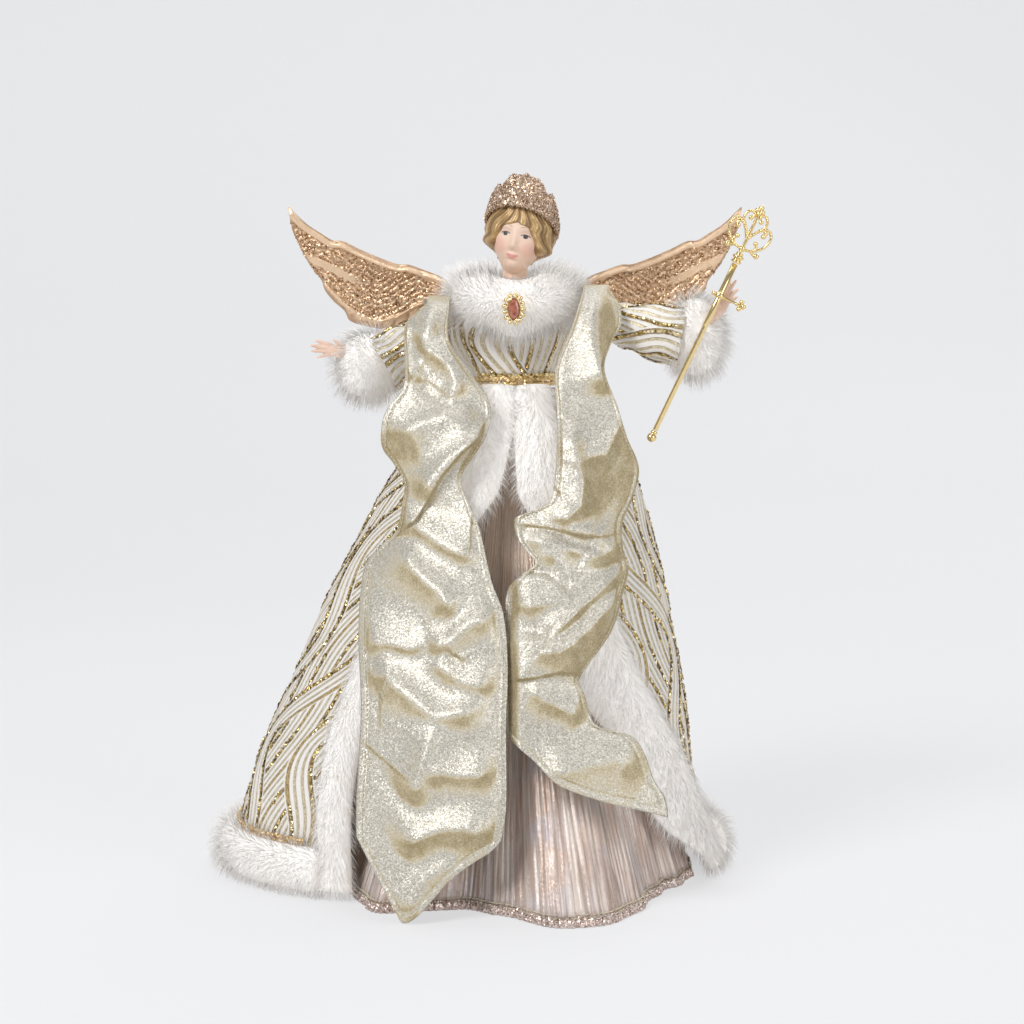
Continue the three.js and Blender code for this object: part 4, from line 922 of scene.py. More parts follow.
def sequinLines(spots, s, along, lift, keep=None):
    # the cloth's gold lines as paths: spots (rows, columns) on it, s across and along up it, in mm
    away = unit(np.cross(np.gradient(spots, axis=1), np.gradient(spots, axis=0)))
    columns = np.arange(spots.shape[1])
    z = along[:, 0]
    lines = []
    for k, (middle, present) in enumerate(goldLines(s.min(), s.max())):
        target, shown = middle(z), present(z)
        shown = shown & (target > s[:, 0] + 0.5) & (target < s[:, -1] - 0.5)
        if keep:
            shown = shown & keep(k, z)
        run = []
        for row in range(len(spots)):
            if shown[row]:
                at = np.interp(target[row], s[row], columns)
                i = min(int(at), spots.shape[1] - 2)
                run.append((mix(spots[row, i], spots[row, i + 1], at - i), away[row, i]))
            if not shown[row] or row == len(spots) - 1:
                if len(run) > 2:
                    p, n = np.array([r[0] for r in run]), np.array([r[1] for r in run])
                    lines.append((p + n * lift, n))
                run = []
    return lines


# Camera, floor and lights

camera = {"lens": 90.71, "place": (13.96, -1495, 362.1), "pitch": 5.758}
cameraData = bpy.data.cameras.new("camera")
cameraData.lens = camera["lens"]
cameraObject = linked("camera", cameraData)
cameraObject.location = Vector(camera["place"]) * mm
cameraObject.rotation_euler = (math.radians(90 - camera["pitch"]), 0, 0)
bpy.context.scene.camera = cameraObject
bpy.context.scene.view_settings.view_transform = "Standard"

studio = {
    "floor": (0.86, 0.86, 0.87, 1),
    "glow": (0.86, 0.865, 0.88, 1),
    "glowShare": 0.68,
    "sky": (0.93, 0.945, 0.97, 1),
    "skyPower": 0.34,
    "aim": (0.01, 0, 0.2),
    "sweep": [(-2.6, 0.0), (1.3, 0.0), (1.75, 0.06), (2.1, 0.28), (2.3, 0.7), (2.35, 3.4)],  # y and z, m
    "halfWidth": 4.5,
}


def backdropMaterial():
    material = blankMaterial("paleStudio")
    tree = material.node_tree
    d = Draft(tree)
    rays = ("Is Camera Ray", "Is Glossy Ray", "Is Transmission Ray")
    seen = [d.add("ShaderNodeLightPath", output=ray) for ray in rays]
    direct = seen[0].maths("MAXIMUM", seen[1]).maths("MAXIMUM", seen[2])
    matt = d.add("ShaderNodeBsdfDiffuse", None, {"Color": studio["floor"]})
    glow = d.add("ShaderNodeEmission", None, {"Color": studio["glow"], "Strength": 1.0})
    mixed = d.add("ShaderNodeMixShader", None, {0: direct * studio["glowShare"], 1: matt, 2: glow})
    output = tree.nodes.new("ShaderNodeOutputMaterial")
    tree.links.new(mixed.socket, output.inputs["Surface"])
    return material


def studioFloor():
    sweep, half = studio["sweep"], studio["halfWidth"]
    points = [(x, y, z + floorZ) for y, z in sweep for x in (-half, half)]
    faces = [(2 * i, 2 * i + 1, 2 * i + 3, 2 * i + 2) for i in range(len(sweep) - 1)]
    mesh = bpy.data.meshes.new("studioFloor")
    mesh.from_pydata(points, [], faces)
    mesh.polygons.foreach_set("use_smooth", [True] * len(faces))
    mesh.materials.append(backdropMaterial())
    linked("studioFloor", mesh)


studioFloor()
world = bpy.data.worlds.new("studio")
bpy.context.scene.world = world
world.use_nodes = True
sky = world.node_tree.nodes["Background"]
sky.inputs["Color"].default_value, sky.inputs["Strength"].default_value = studio["sky"], studio["skyPower"]
lamps = {
    "key": {"at": (-1.3, -1.7, 1.9), "size": 1.0, "power": 44},
    "fill": {"at": (1.7, -1.5, 1.0), "size": 1.6, "power": 16},
    "top": {"at": (0.2, 0.4, 2.2), "size": 1.2, "power": 10},
    "back": {"at": (1.0, 1.6, 1.3), "size": 1.0, "power": 6},
}
for name, lamp in lamps.items():
    light = bpy.data.lights.new(name, "AREA")
    light.shape, light.size, light.energy = "DISK", lamp["size"], lamp["power"]
    obj = linked(name, light)
    obj.location = lamp["at"]
    obj.rotation_euler = (Vector(studio["aim"]) - obj.location).to_track_quat("-Z", "Y").to_euler()
print("camera, floor and lights placed")


# Underskirt: pleated crushed foil with a glitter tape round its hem

underskirt = {"hem": 104, "top": 20.5, "height": 281, "pleatDepth": 2.6, "crinkle": 0.85,
              "columns": 1120, "rows": 26, "wall": 0.9, "low": 0.2, "tapeHigh": 5.6}
hemFolds = [(-72, 40, 21), (-80, 8, 8), (-125, 29, 12), (-146, 10, 15), (-20, 3.5, 12)]  # at, out, width


def pleatGroup():
    sizes = {
        "Hem": underskirt["hem"] * mm, "Top": underskirt["top"] * mm, "Height": underskirt["height"] * mm,
        "Low": underskirt["low"] * mm, "High": underskirt["height"] * mm, "Out": 0.0,
        "Pleat Depth": underskirt["pleatDepth"] * mm, "Crinkle": underskirt["crinkle"] * mm,
        "Columns": underskirt["columns"], "Rows": underskirt["rows"], "Finish": "",
    }
    d, given, group = groupOf("pleatedSkirt", sizes)
    grid = d.add("GeometryNodeMeshGrid", None, {
        "Size X": 1.0, "Size Y": 1.0, "Vertices X": given["Columns"], "Vertices Y": given["Rows"]})
    x, y, _ = d.axes(d.add("GeometryNodeInputPosition"))
    z = given["Low"] + (given["High"] - given["Low"]) * (y + 0.5)
    drop = 1 - z / given["Height"]
    turn = x * 360
    folds = 0
    for at, out, width in hemFolds:
        folds = folds + (((turn - at) / width) ** 2 * -1).maths("EXPONENT") * (out * mm)
    angle = x * (2 * pi)
    cosine, sine = angle.maths("COSINE"), angle.maths("SINE")
    around = d.point(cosine, sine, z * 2)
    shift = d.add("ShaderNodeTexNoise", None, {"Vector": around, "Scale": 9.0, "Detail": 2.0})
    rough = d.add("ShaderNodeTexNoise", None, {"Vector": around, "Scale": 24.0, "Detail": 2.0})
    crease = 0.5 - (angle * 26).maths("COSINE") * 0.5
    fine = (angle * 205 + shift * 26).maths("SINE") * (rough * 1.1 + 0.25)
    depth = given["Pleat Depth"] * (drop * 0.65 + 0.35) * crease * (rough * 0.6 + 0.7)
    radius = given["Top"] + (given["Hem"] - given["Top"]) * drop + folds * drop ** 1.7
    radius = radius + given["Out"] - depth - given["Crinkle"] + fine * given["Crinkle"] * (drop * 0.75 + 0.25)
    spot = d.vectors("ADD", d.point(radius * cosine, radius * sine, z), tuple(dollAxis * mm))
    width = d.axes(Flow(d, grid.socket.node.outputs["UV Map"]))[0] * 0.7
    store = {"data_type": "FLOAT2", "domain": "CORNER"}
    inputs = {0: grid, "Name": "UVMap", "Value": d.point(width, z)}
    mesh = d.add("GeometryNodeStoreNamedAttribute", store, inputs)
    mesh = d.add("GeometryNodeSetPosition", None, {0: mesh, "Position": spot})
    mesh = d.add("GeometryNodeMergeByDistance", None, {0: mesh, "Distance": 1e-6})
    closeGroup(d, mesh, given)
    return group


groups["pleats"] = pleatGroup()


def pleated(name, look, **sizes):  # grown on an empty mesh
    base = linked(name + "Base", bpy.data.meshes.new(name + "Base"))
    return grow(base, groups["pleats"], name, look, keepBase=False, **sizes)


skirt = pleated("underskirtPleats", "foil")
tape = pleated("underskirtHemTape", "tape", Rows=3, Low=0.7 * mm, High=underskirt["tapeHigh"] * mm,
               Out=1.1 * mm)
storeOn(tape.data, "cover", np.ones(len(tape.data.vertices)))
tapeGrains = grow(tape, groups["grain"], "hemTapeGrains", "tape", Density=0.75e6, Size=0.75 * mm, Seed=4)
rim = np.array([v.co for v in tape.data.vertices]) / mm - dollAxis
rim = rim[rim[:, 2] > underskirt["tapeHigh"] - 0.1]
rim = rim[np.argsort(np.arctan2(rim[:, 1], rim[:, 0]))]
rimFacing = unit(rim * (1, 1, 0))
seamLines = [(rim * (1, 1, 0) + (0, 0, 6.6) - rimFacing * 0.5, rimFacing),
             (rim - (0, 0, 0.6) + rimFacing * 0.2, rimFacing)]
hemStitches = rowsAlong("underskirtStitches", seamLines, "thread", "stitch", Spacing=2.6 * mm, Size=1.7 * mm,
                        Tilt=0.1)
thicken(skirt, underskirt["wall"])
thicken(tape, 0.8)
settle(skirt, "figure", "rose_cloth", "underskirt")
settle(tape, "figure", "rose_glitter", "underskirt_hem_tape")
settle(tapeGrains, "figure", "rose_glitter")
settle(hemStitches, "figure", "rose_cloth")
print("underskirt pleated")


# Coat: plush cloth with wave lines, open in front

coat = {"low": 4, "high": 283.4, "columns": 260, "rows": 130, "wall": 1.5, "flutes": 9, "fluteDepth": 2,
        "pad": 1.6}
coatEast = profile((4, 117), (30, 110), (58, 104.5), (100, 100), (147, 92), (188, 83), (230, 71), (252, 56),
                   (270, 37), (284, 23))
coatNorth = profile((4, 120), (58, 110), (100, 100), (147, 88), (188, 76), (230, 62), (252, 50), (270, 36),
                    (284, 22))
coatWest = profile((4, 164), (37, 160), (73, 149), (111, 132), (153, 114), (186, 97), (238, 68), (262, 45),
                   (284, 23))
coatSouth = profile((4, 100), (60, 96), (124, 89), (186, 76), (230, 62), (252, 50), (270, 35), (284, 21))
openEast = profile((0, -7), (60, -28), (124, -55), (180, -69), (240, -79), (284, -86))
openWest = profile((0, -138), (60, -140), (100, -138), (180, -125), (240, -106), (284, -94))


def coatPoint(angle, z, out=0):
    alongX = np.where(np.cos(angle) >= 0, coatEast(z), coatWest(z))
    alongY = np.where(np.sin(angle) >= 0, coatNorth(z), coatSouth(z))
    r = 1 / np.sqrt((np.cos(angle) / alongX) ** 2 + (np.sin(angle) / alongY) ** 2)
    depth = coat["fluteDepth"] * smooth(1 - z / 200) * smooth(2 - np.abs(angle - pi / 2))
    r = r + depth * np.sin(coat["flutes"] * angle) + out
    return vec(r * np.cos(angle), r * np.sin(angle), z)


def coatNormal(angle, z):
    here = coatPoint(angle, z)
    return unit(np.cross(coatPoint(angle + 0.02, z) - here, coatPoint(angle, z + 2) - here))


def coatAngle(share, z):
    return np.radians(mix(openEast(z), openWest(z) + 360, share))


def coatGrid(u, v):
    z = mix(coat["low"], coat["high"], v)
    return coatPoint(coatAngle(u, z), z)


def coatFlat(u, v):  # how far round from the back, eased so that the pattern thins out upwards
    spots = coatGrid(u, v)
    s = np.concatenate([np.zeros((len(u), 1)), np.linalg.norm(np.diff(spots, axis=1), axis=-1).cumsum(1)], 1)
    angle = coatAngle(u, spots[..., 2])
    middle = [np.interp(pi / 2, a, row) for a, row in zip(angle, s)]
    full = s[0, -1] / s[:, -1:]
    return np.stack([(s - np.array(middle)[:, None]) * full ** 0.35, spots[..., 2]], -1)


coatCloth = clothPiece("coatSkirt", coatGrid, coat["columns"], coat["rows"], "coat", flat=coatFlat)
u, v = shares(500, 150, along=(0.09, 0.995))
coatSpots, coatCut = coatGrid(u, v), coatFlat(u, v)
coatRows = sequinLines(coatSpots, coatCut[..., 0], coatCut[..., 1], 0.45,
                       keep=lambda k, z: np.sin(k * 1.9 + z * 0.045) > -0.62)
coatSequins = rowsAlong("coatSequins", coatRows, "sequin", "sequin", Spacing=1.25 * mm, Size=2.7 * mm,
                        Tilt=0.45, Spread=0.3 * mm, Seed=3)
thicken(coatCloth, coat["wall"])
settle(coatCloth, "figure", "coat_cloth", "coat_skirt")
settle(coatSequins, "figure", "sequin_gold")
print("coat draped:", len(coatRows), "sequin lines")


def coatPad(name, place, thickness, steps, sides, comb, square=0.8, look="fur", spread=0.5):
    # a pad on the coat's face: place(t, s) gives angle and height at a share along and across it
    def at(t, s, rise):
        angle, z = place(t, s)
        return coatPoint(angle, z) + coatNormal(angle, z) * rise

    half = np.linspace(0, pi, sides)
    rings, combs, covers = [], [], []
    for t in np.linspace(0, 1, steps + 1):
        thick = thickness(t)
        front = np.array([at(t, math.cos(a), coat["pad"] + thick * math.sin(a) ** square) for a in half])
        back = np.array([at(t, s, coat["pad"]) for s in (-0.5, 0, 0.5)])
        middle = at(t, 0, coat["pad"])
        rings.append(np.concatenate([front, back]))
        combs.append(unit(np.array(comb) + unit(rings[-1] - middle) * spread))
        covers.append(np.concatenate([np.ones(sides), np.zeros(3)]))
    values = {"comb": np.concatenate(combs), "cover": np.concatenate(covers)}
    return ringPiece(name, rings, look, values)


frontFur = {
    "top": 282.5,
    "bottom": 5,
    "halfWidth": 11.2,
    "inset": 0.8,
    "thickness": 6.5,
    # heights, and how many half-widths more the strip lies over the opening there
    "reachRight": ((170, 190, 212, 226, 250, 270, 282), (0, 0.4, 0.7, 1.0, 0.6, 0.35, 0.15)),
    "reachLeft": ((14, 24, 34, 44, 60, 80, 105, 120, 138, 166, 190, 212, 226, 250, 270, 282),
                  (1.2, 2.3, 3.3, 3.6, 3.0, 2.1, 2.2, 2.5, 1.9, 0.1, 0.3, 0.6, 1.0, 0.6, 0.35, 0.15)),
}
hemFur = {"low": 3, "high": 28, "thickness": 9.5, "shares": (0.044, 0.972), "middle": 0.5, "overlap": 0.004}
pile = {"Density": 0.48e6, "Length": 10.5 * mm, "Thickness": 0.42 * mm, "Lean": 1.1, "Wild": 0.55,
        "Curl": 0.45}


def frontFurStrip(name, edge, inward, reach):
    swell = lambda t: mix(0.92, 1, smooth(t * 6)) * mix(1, 0.8, smooth(t * 2 - 0.9))

    def place(t, s):
        z = mix(frontFur["top"], frontFur["bottom"], t)
        angle = math.radians(float(edge(z)))
        r = np.linalg.norm(coatPoint(angle, z)[:2])
        across = frontFur["inset"] + s * (1 + np.interp(z, *reach) if s < 0 else 1)
        return angle + inward * frontFur["halfWidth"] * swell(t) * across / r, z

    base = coatPad(name, place, lambda t: frontFur["thickness"] * swell(t), 90, 15, (0, 0, -0.7), spread=0.3)
    return furCoat(name, base, **{**pile, "Seed": 2})


frontFurRight = frontFurStrip("coatFrontFurRight", openWest, -1, frontFur["reachRight"])
frontFurLeft = frontFurStrip("coatFrontFurLeft", openEast, 1, frontFur["reachLeft"])
settle(frontFurRight, "figure", "fur", "coat_front_fur_right")
settle(frontFurLeft, "figure", "fur", "coat_front_fur_left")


def hemPlace(first, last):
    middle = (hemFur["low"] + hemFur["high"]) / 2
    half = (hemFur["high"] - hemFur["low"]) / 2

    def place(t, s):
        return float(coatAngle(mix(first, last, t), middle)), middle + half * s

    return place


def hemFurHalf(name, first, last, seed):
    base = coatPad(name, hemPlace(first, last), lambda t: hemFur["thickness"], 110, 13, (0, 0, -0.3))
    return furCoat(name, base, **{**pile, "Seed": seed})


hemFurLeft = hemFurHalf("coatHemFurLeft", hemFur["shares"][0], hemFur["middle"] + hemFur["overlap"], 5)
hemFurRight = hemFurHalf("coatHemFurRight", hemFur["middle"] - hemFur["overlap"], hemFur["shares"][1], 6)
settle(hemFurLeft, "figure", "fur", "coat_hem_fur")
settle(hemFurRight, "figure", "fur", "coat_hem_fur")

braid = {"z": 30, "half": 1.9, "shares": (0.06, 0.952)}


def braidPlace(t, s):
    return float(coatAngle(mix(*braid["shares"], t), braid["z"])), braid["z"] + braid["half"] * s


braidBand = coatPad("coatHemBraid", braidPlace, lambda t: 0.8, 160, 7, (0, 0, -1), 1, "braid")
braidLines = []
for row in (-0.55, 0.55):
    spots = [braidPlace(t, row) for t in np.linspace(0.002, 0.998, 400)]
    angle, z = np.array(spots).T
    out = coatNormal(angle, z)
    braidLines.append((coatPoint(angle, z) + out * (coat["pad"] + 0.9), out))
braidCord = rowsAlong("coatBraidCord", braidLines, "braid", "stitch", Spacing=1.15 * mm, Size=3.0 * mm,
                      Tilt=0.5, Seed=8)
settle(braidBand, "figure", "sequin_gold", "coat_hem_braid")
settle(braidCord, "figure", "sequin_gold")
print("coat trimmed")


# Bodice and belt

bodice = {
    "low": 285,
    "high": 336,
    # height, half width, half depth
    "stations": [(285, 20.6, 16.6), (301, 25.5, 18.2), (314, 31, 20), (325, 34, 20.2), (332, 31, 18),
                 (336, 22, 14.5)],
    "underArm": 0.34,
}
bodiceHalf = profile(*[(z, (a, b)) for z, a, b in bodice["stations"]])


def bodiceGrid(u, v):
    z = mix(bodice["low"], bodice["high"], v)
    half = bodiceHalf(z)
    angle = 2 * pi * u + pi / 2
    wide = 1 + bodice["underArm"] * bump(z, 308, 17) * smooth(-np.cos(angle) * 2)
    return vec(half[..., 0] * wide * np.cos(angle), half[..., 1] * np.sin(angle), z)


def bodiceFlat(u, v):
    return np.stack([(u - 0.5) * 150 + 40, 60 + 51 * v], -1)


bodiceCloth = clothPiece("bodiceCloth", bodiceGrid, 120, 36, "coat", wrapped=True, flat=bodiceFlat)
u, v = shares(120, 24, (0.3, 0.7), (0.16, 0.75))
bodiceCut = bodiceFlat(u, v)
bodiceRows = sequinLines(bodiceGrid(u, v), bodiceCut[..., 0], bodiceCut[..., 1], 0.5)
bodiceSequins = rowsAlong("bodiceSequins", bodiceRows, "sequin", "sequin", Spacing=1.15 * mm, Size=1.9 * mm,
                          Tilt=0.5, Seed=12)
thicken(bodiceCloth, 1.2)
settle(bodiceCloth, "figure", "coat_cloth", "bodice")
settle(bodiceSequins, "figure", "sequin_gold")

belt = {"low": 285, "high": 7.6, "halfWidth": 20.9, "halfDepth": 16.9, "stand": 1.9, "flare": 1.6,
        "rows": (1.9, 4.7), "disc": 3.6, "spacing": 2.5}
beltLines = []
for height in belt["rows"]:
    angle = np.linspace(0, 2 * pi, 160)
    out = belt["stand"] + mix(0, belt["flare"], height / belt["high"])
    wide, deep = belt["halfWidth"] + out, belt["halfDepth"] + out
    points = vec(wide * np.cos(angle), deep * np.sin(angle), belt["low"] + height)
    beltLines.append((points, unit(points * (1, 1.5, 0)) + (0, 0, 0.25)))
beltDiscs = rowsAlong("beltSequins", beltLines, "braid", "disc", Spacing=belt["spacing"] * mm,
                      Size=belt["disc"] * mm, Tilt=0.3, Spread=0.3 * mm, Seed=5)
settle(beltDiscs, "figure", "sequin_gold")
print("bodice dressed")


# Collar: a full fur ring round the neck

collar = {"around": 110, "sides": 30, "shrink": 0.7}


def collarRings():
    angle = np.linspace(0, 2 * pi, collar["around"], endpoint=False)[:, None]
    front = 0.5 - 0.5 * np.sin(angle)
    rise = 4.5 * (bump(np.cos(angle), -0.6, 0.36) + bump(np.cos(angle), 0.66, 0.36)) * front
    centre = np.concatenate([27 * np.cos(angle), -1 + 18.5 * np.sin(angle) - 3 * front,
                             mix(340, 329.5, front) + rise], 1)
    outward = np.concatenate([np.cos(angle), np.sin(angle), -0.25 * front], 1) * mix(9, 16, front ** 0.6)
    up = np.concatenate([0.25 * np.cos(angle), 0.1 * np.sin(angle), np.ones_like(angle)], 1)
    up = up * mix(12, 23, front ** 1.2)
    return ovals(centre, outward * collar["shrink"], up * collar["shrink"], collar["sides"]), centre


def collarPiece():
    rings, centre = collarRings()
    spots = rings.reshape(-1, 3)
    outwards = unit(spots * (1, 1.3, 0) - (0, 2, 0))
    fromRing = unit(spots - np.repeat(centre, collar["sides"], 0))
    inside = smooth((fromRing * outwards).sum(-1) * 1.2 + 1.05)
    below = smooth((spots[:, 2] - 309) / 6)
    chin = bump(spots[:, 0], 0.5, 10) * (spots[:, 1] < 0)
    upward = 0.75 * smooth(fromRing[:, 2] * 1.6) * (1 - chin) - 0.3 - 0.6 * chin
    collarComb = unit(outwards * 0.55 + fromRing * (0.5 - 0.4 * chin)[:, None] + vec(0, 0, upward))
    byChin = smooth((chin - 0.3) * 2.5) * smooth((fromRing[:, 2] + 0.1) * 3)
    cover = inside * below
    furRing = ringPiece("furCollar", rings, "fur", {"comb": collarComb, "cover": cover * (1 - byChin)},
                        closed=True)
    napRing = ringPiece("collarNap", rings, "fur", {"comb": collarComb, "cover": cover * byChin}, closed=True)
    strandSizes = {"Density": 0.8e6, "Thickness": 0.42 * mm, "Wild": 0.5, "Curl": 0.35}
    furRing = furCoat("furCollar", furRing, **{**strandSizes, "Length": 13 * mm, "Lean": 0.8, "Seed": 9})
    napStrands = grow(napRing, groups["fur"], "collarNapStrands", "fur", keepBase=False,
                      **{**strandSizes, "Length": 6 * mm, "Lean": 1.0, "Seed": 10})
    return joined("furCollar", furRing, napStrands)


furRing = collarPiece()
settle(furRing, "figure", "fur", "fur_collar")
print("collar brushed")


# Stole: two long panels of metal cloth in front, and a band over the shoulders

stole = {"wall": 1.1, "columns": 84, "rows": 262, "hem": 4.0, "cap": 0.05, "steep": 1.45, "broad": 1.6}
stoleDepth = profile((0, -139), (40, -134), (80, -127), (120, -118), (160, -107), (200, -94), (230, -82),
                     (260, -68), (290, -54), (312, -44), (330, -32), (342, -16))
stoleRoomWest = profile((0, 190), (100, 150), (180, 118), (240, 100), (262, 160), (300, 400))
stoleRoomEast = profile((0, 210), (60, 170), (120, 128), (188, 100), (240, 96), (262, 140), (300, 400))


def stoleY(x, z):
    room = np.where(x < 0, stoleRoomWest(z), stoleRoomEast(z))
    overSleeve = 11 * smooth((np.abs(x) - 46) / 14) * smooth((z - 292) / 20)
    return stoleDepth(z) * np.sqrt(np.maximum(0.05, 1 - (x / room) ** 2)) + overSleeve


def foldRise(folds, steps, x, z):
    # folds are (points, height, width above, width below); steps are (points, rise, softness)
    total = 0
    for points, height, above, below in folds:
        gap, side, share = awayFrom(points, x, z)
        width = np.where(side > 0, above, below) * stole["broad"]
        tent = np.exp(-(np.sqrt(gap ** 2 + 5) - 2.24) / width)
        ends = smooth(share / 0.3 + 0.15) * smooth((1 - share) / 0.3 + 0.15)
        total = total + np.sign(height) * np.abs(height * stole["steep"] * tent * ends) ** 2.2
    total = np.sign(total) * np.abs(total) ** (1 / 2.2)
    for points, rise, soft in steps:
        gap, side, share = awayFrom(points, x, z)
        ends = smooth(share / 0.15) * smooth((1 - share) / 0.15)
        total = total + rise * ends * smooth(side * gap / soft + 0.5) * np.exp(-(gap / 34) ** 2)
    return total


rightPanel = {
    "top": 333,
    "tuck": 0,
    "cap": ((0, 7, 336.5), (0, -5, 338.5)),
    "west": profile((0, -87), (31, -87), (45, -87), (62, -87), (112, -85), (150, -87), (176, -86), (190, -83),
                    (199, -75), (208, -66), (222, -63), (234, -62), (244, -68), (252, -74), (262, -75),
                    (274, -72), (286, -63), (300, -62), (314, -63), (322, -62), (328, -56), (333, -50)),
    "east": profile((0, -7), (42, -8), (62, -5), (106, -5), (140, -4), (166, -6.5), (182, -12.6), (208, -19),
                    (224, -25), (235, -29.5), (242, -28), (252, -21), (261, -15.6), (274, -13.4), (284, -17),
                    (294, -24.7), (312, -37), (333, -37.5)),
    "hem": profile((0, 45), (0.1, 31), (0.28, 6), (0.32, 0.8), (0.4, 3), (0.57, 17.4), (0.64, 24), (0.83, 35),
                   (0.93, 40), (1, 46)),
    "folds": [
        ([(-38, 328.9), (-47.3, 326.6), (-59.9, 318.7), (-63.7, 313.2), (-61.8, 300.7), (-55, 293.9),
          (-46.8, 291.7)], 6, 6, 5),
        ([(-38, 326.7), (-47.2, 320.9), (-53.6, 315.4), (-50.4, 308.8), (-43.4, 305.2), (-36.5, 299.6),
          (-32.5, 289.5), (-35.2, 280.5), (-44.3, 273.9)], 7, 6, 5),
        ([(-70.6, 256.9), (-52.5, 267), (-35.2, 272.7), (-16.9, 273.9)], 6, 5, 13),
        ([(-14.6, 266), (-24, 258), (-36, 249), (-48, 236), (-56, 222)], 7, 9, 5),
        ([(-70, 203), (-62, 210), (-56.8, 212.1), (-46.9, 206.8), (-37.4, 201.5), (-24.8, 196.2),
          (-16.5, 198.8)], 5, 9, 4),
        ([(-66.7, 204.2), (-63.8, 199.9), (-56, 189.2), (-41.1, 177.6), (-35.1, 168.6),
          (-29, 161.7)], 7, 5, 9),
        ([(-86, 146), (-72, 149), (-58, 147), (-46, 150)], 4, 9, 3),
        ([(-40.4, 137.9), (-41, 150.6), (-36.1, 151.1), (-30.1, 156.9), (-24.6, 161.7), (-18.1, 163.3),
          (-8.2, 167)], 6, 5, 8),
        ([(-41, 148), (-40.4, 137.9), (-30, 131), (-9.3, 126.8)], 5, 8, 5),
        ([(-83.3, 126.8), (-77.9, 130), (-70.3, 131), (-59.9, 123.6), (-43.5, 112), (-27.2, 115.2),
          (-12, 121)], 7, 6, 9),
        ([(-64, 67), (-53.7, 74.5), (-51, 86.1), (-46.2, 100.4), (-43.5, 112)], 7, 9, 7),
        ([(-52.7, 77.2), (-41.2, 83.9), (-30.9, 81.9), (-9, 82.3)], 6, 8, 8),
        ([(-65.5, 37.9), (-52.5, 47.4), (-40.6, 52.7), (-25.5, 53.8), (-12.4, 43.7)], 6, 8, 6),
        ([(-62, 2), (-50, 24), (-30, 38)], 3, 6, 6),
    ],
    "steps": [([(-65.6, 206.5), (-54.4, 214.7), (-48.5, 223.8), (-40.7, 238.2), (-30.6, 250.6),
                (-19.1, 260.7), (-14.6, 272.8)], 4.5, 1.6)],
}
leftPanel = {
    "top": 341,
    "tuck": 7.5,
    "cap": ((0, 7, 341.6), (0, -5, 345.2)),
    "west": profile((50, -6.5), (102, -6.5), (150, -6.5), (166, -5.8), (178, -4), (186, 3), (190.8, 10.5),
                    (194, 10.5), (199, 6), (205, 1.6), (212, -0.6), (217, 1), (221, 12), (226, 19.4),
                    (240, 22.2), (270, 23.4), (296, 22.5), (318, 31), (341, 39)),
    "east": profile((50, 84), (65, 82), (75, 76), (91, 70), (100, 62), (105, 46), (111, 41), (122, 38),
                    (130, 35), (136, 38), (155, 52.7), (176, 60), (186, 62.8), (198, 60), (212, 60),
                    (225, 66), (238, 69.7), (246, 68.4), (258, 63), (277, 57), (297, 50), (310, 54),
                    (320, 60), (331, 60), (341, 54)),
    "hem": profile((0, 102.3), (0.2, 89.1), (0.354, 76.5), (0.61, 66), (0.9, 58), (1, 55)),
    "folds": [
        ([(45, 345), (43, 328), (43, 312), (47, 298), (52, 280)], 7, 6, 12),
        ([(30, 318), (26, 296), (26, 268)], 3, 9, 6),
        ([(26.8, 273.4), (33, 254), (37.2, 235), (35.8, 223.5), (29.1, 217.6), (12, 218)], 8, 5, 12),
        ([(35, 240), (36.5, 246), (42, 249.5), (49, 250.5), (57, 247)], 5, 9, 4),
        ([(23.7, 212.5), (40.9, 208.2), (51.5, 201.3), (58, 190)], 6, 5, 5),
        ([(1, 205.5), (18.7, 204), (35.6, 198.3), (48.6, 193.9), (56.5, 190.8)], 6, 4, 6),
        ([(9.6, 201.5), (23.6, 195), (29, 186.2), (32.9, 176)], 5, 5, 6),
        ([(-0.5, 170.1), (4.9, 170.7), (16.4, 172.3), (29.1, 175.4), (34.6, 177.6)], 5, 7, 4),
        ([(14.7, 150), (24.1, 159.6), (35.6, 169.6), (46.6, 177.6), (57.1, 185.3), (62.1, 188.2)], 7, 6, 3),
        ([(8.2, 158.5), (9.3, 152.2), (14.7, 147.9), (24.6, 148.4), (35.5, 154.3), (47.6, 165.9),
          (55.9, 172.3), (64.2, 179.7)], 9, 4, 9),
        ([(2.7, 130), (9.3, 126.3), (16.3, 121.5), (23.9, 117.8), (32.6, 113.6), (40.8, 110.9)], 5, 8, 5),
        ([(10, 80), (32, 85), (56, 89), (74, 80)], 4, 9, 9),
    ],
    "steps": [([(-5.5, 182.4), (5.5, 186.1), (16.4, 186), (23.6, 181), (31.2, 176.5)], -3.5, 1.6),
              ([(60, 206), (40, 206), (18, 211), (-1, 213)], -2.5, 1.6),
              ([(-3.8, 130.5), (8.2, 132.1), (24, 135.2), (37.1, 134.2)], 3.5, 1.8)],
}


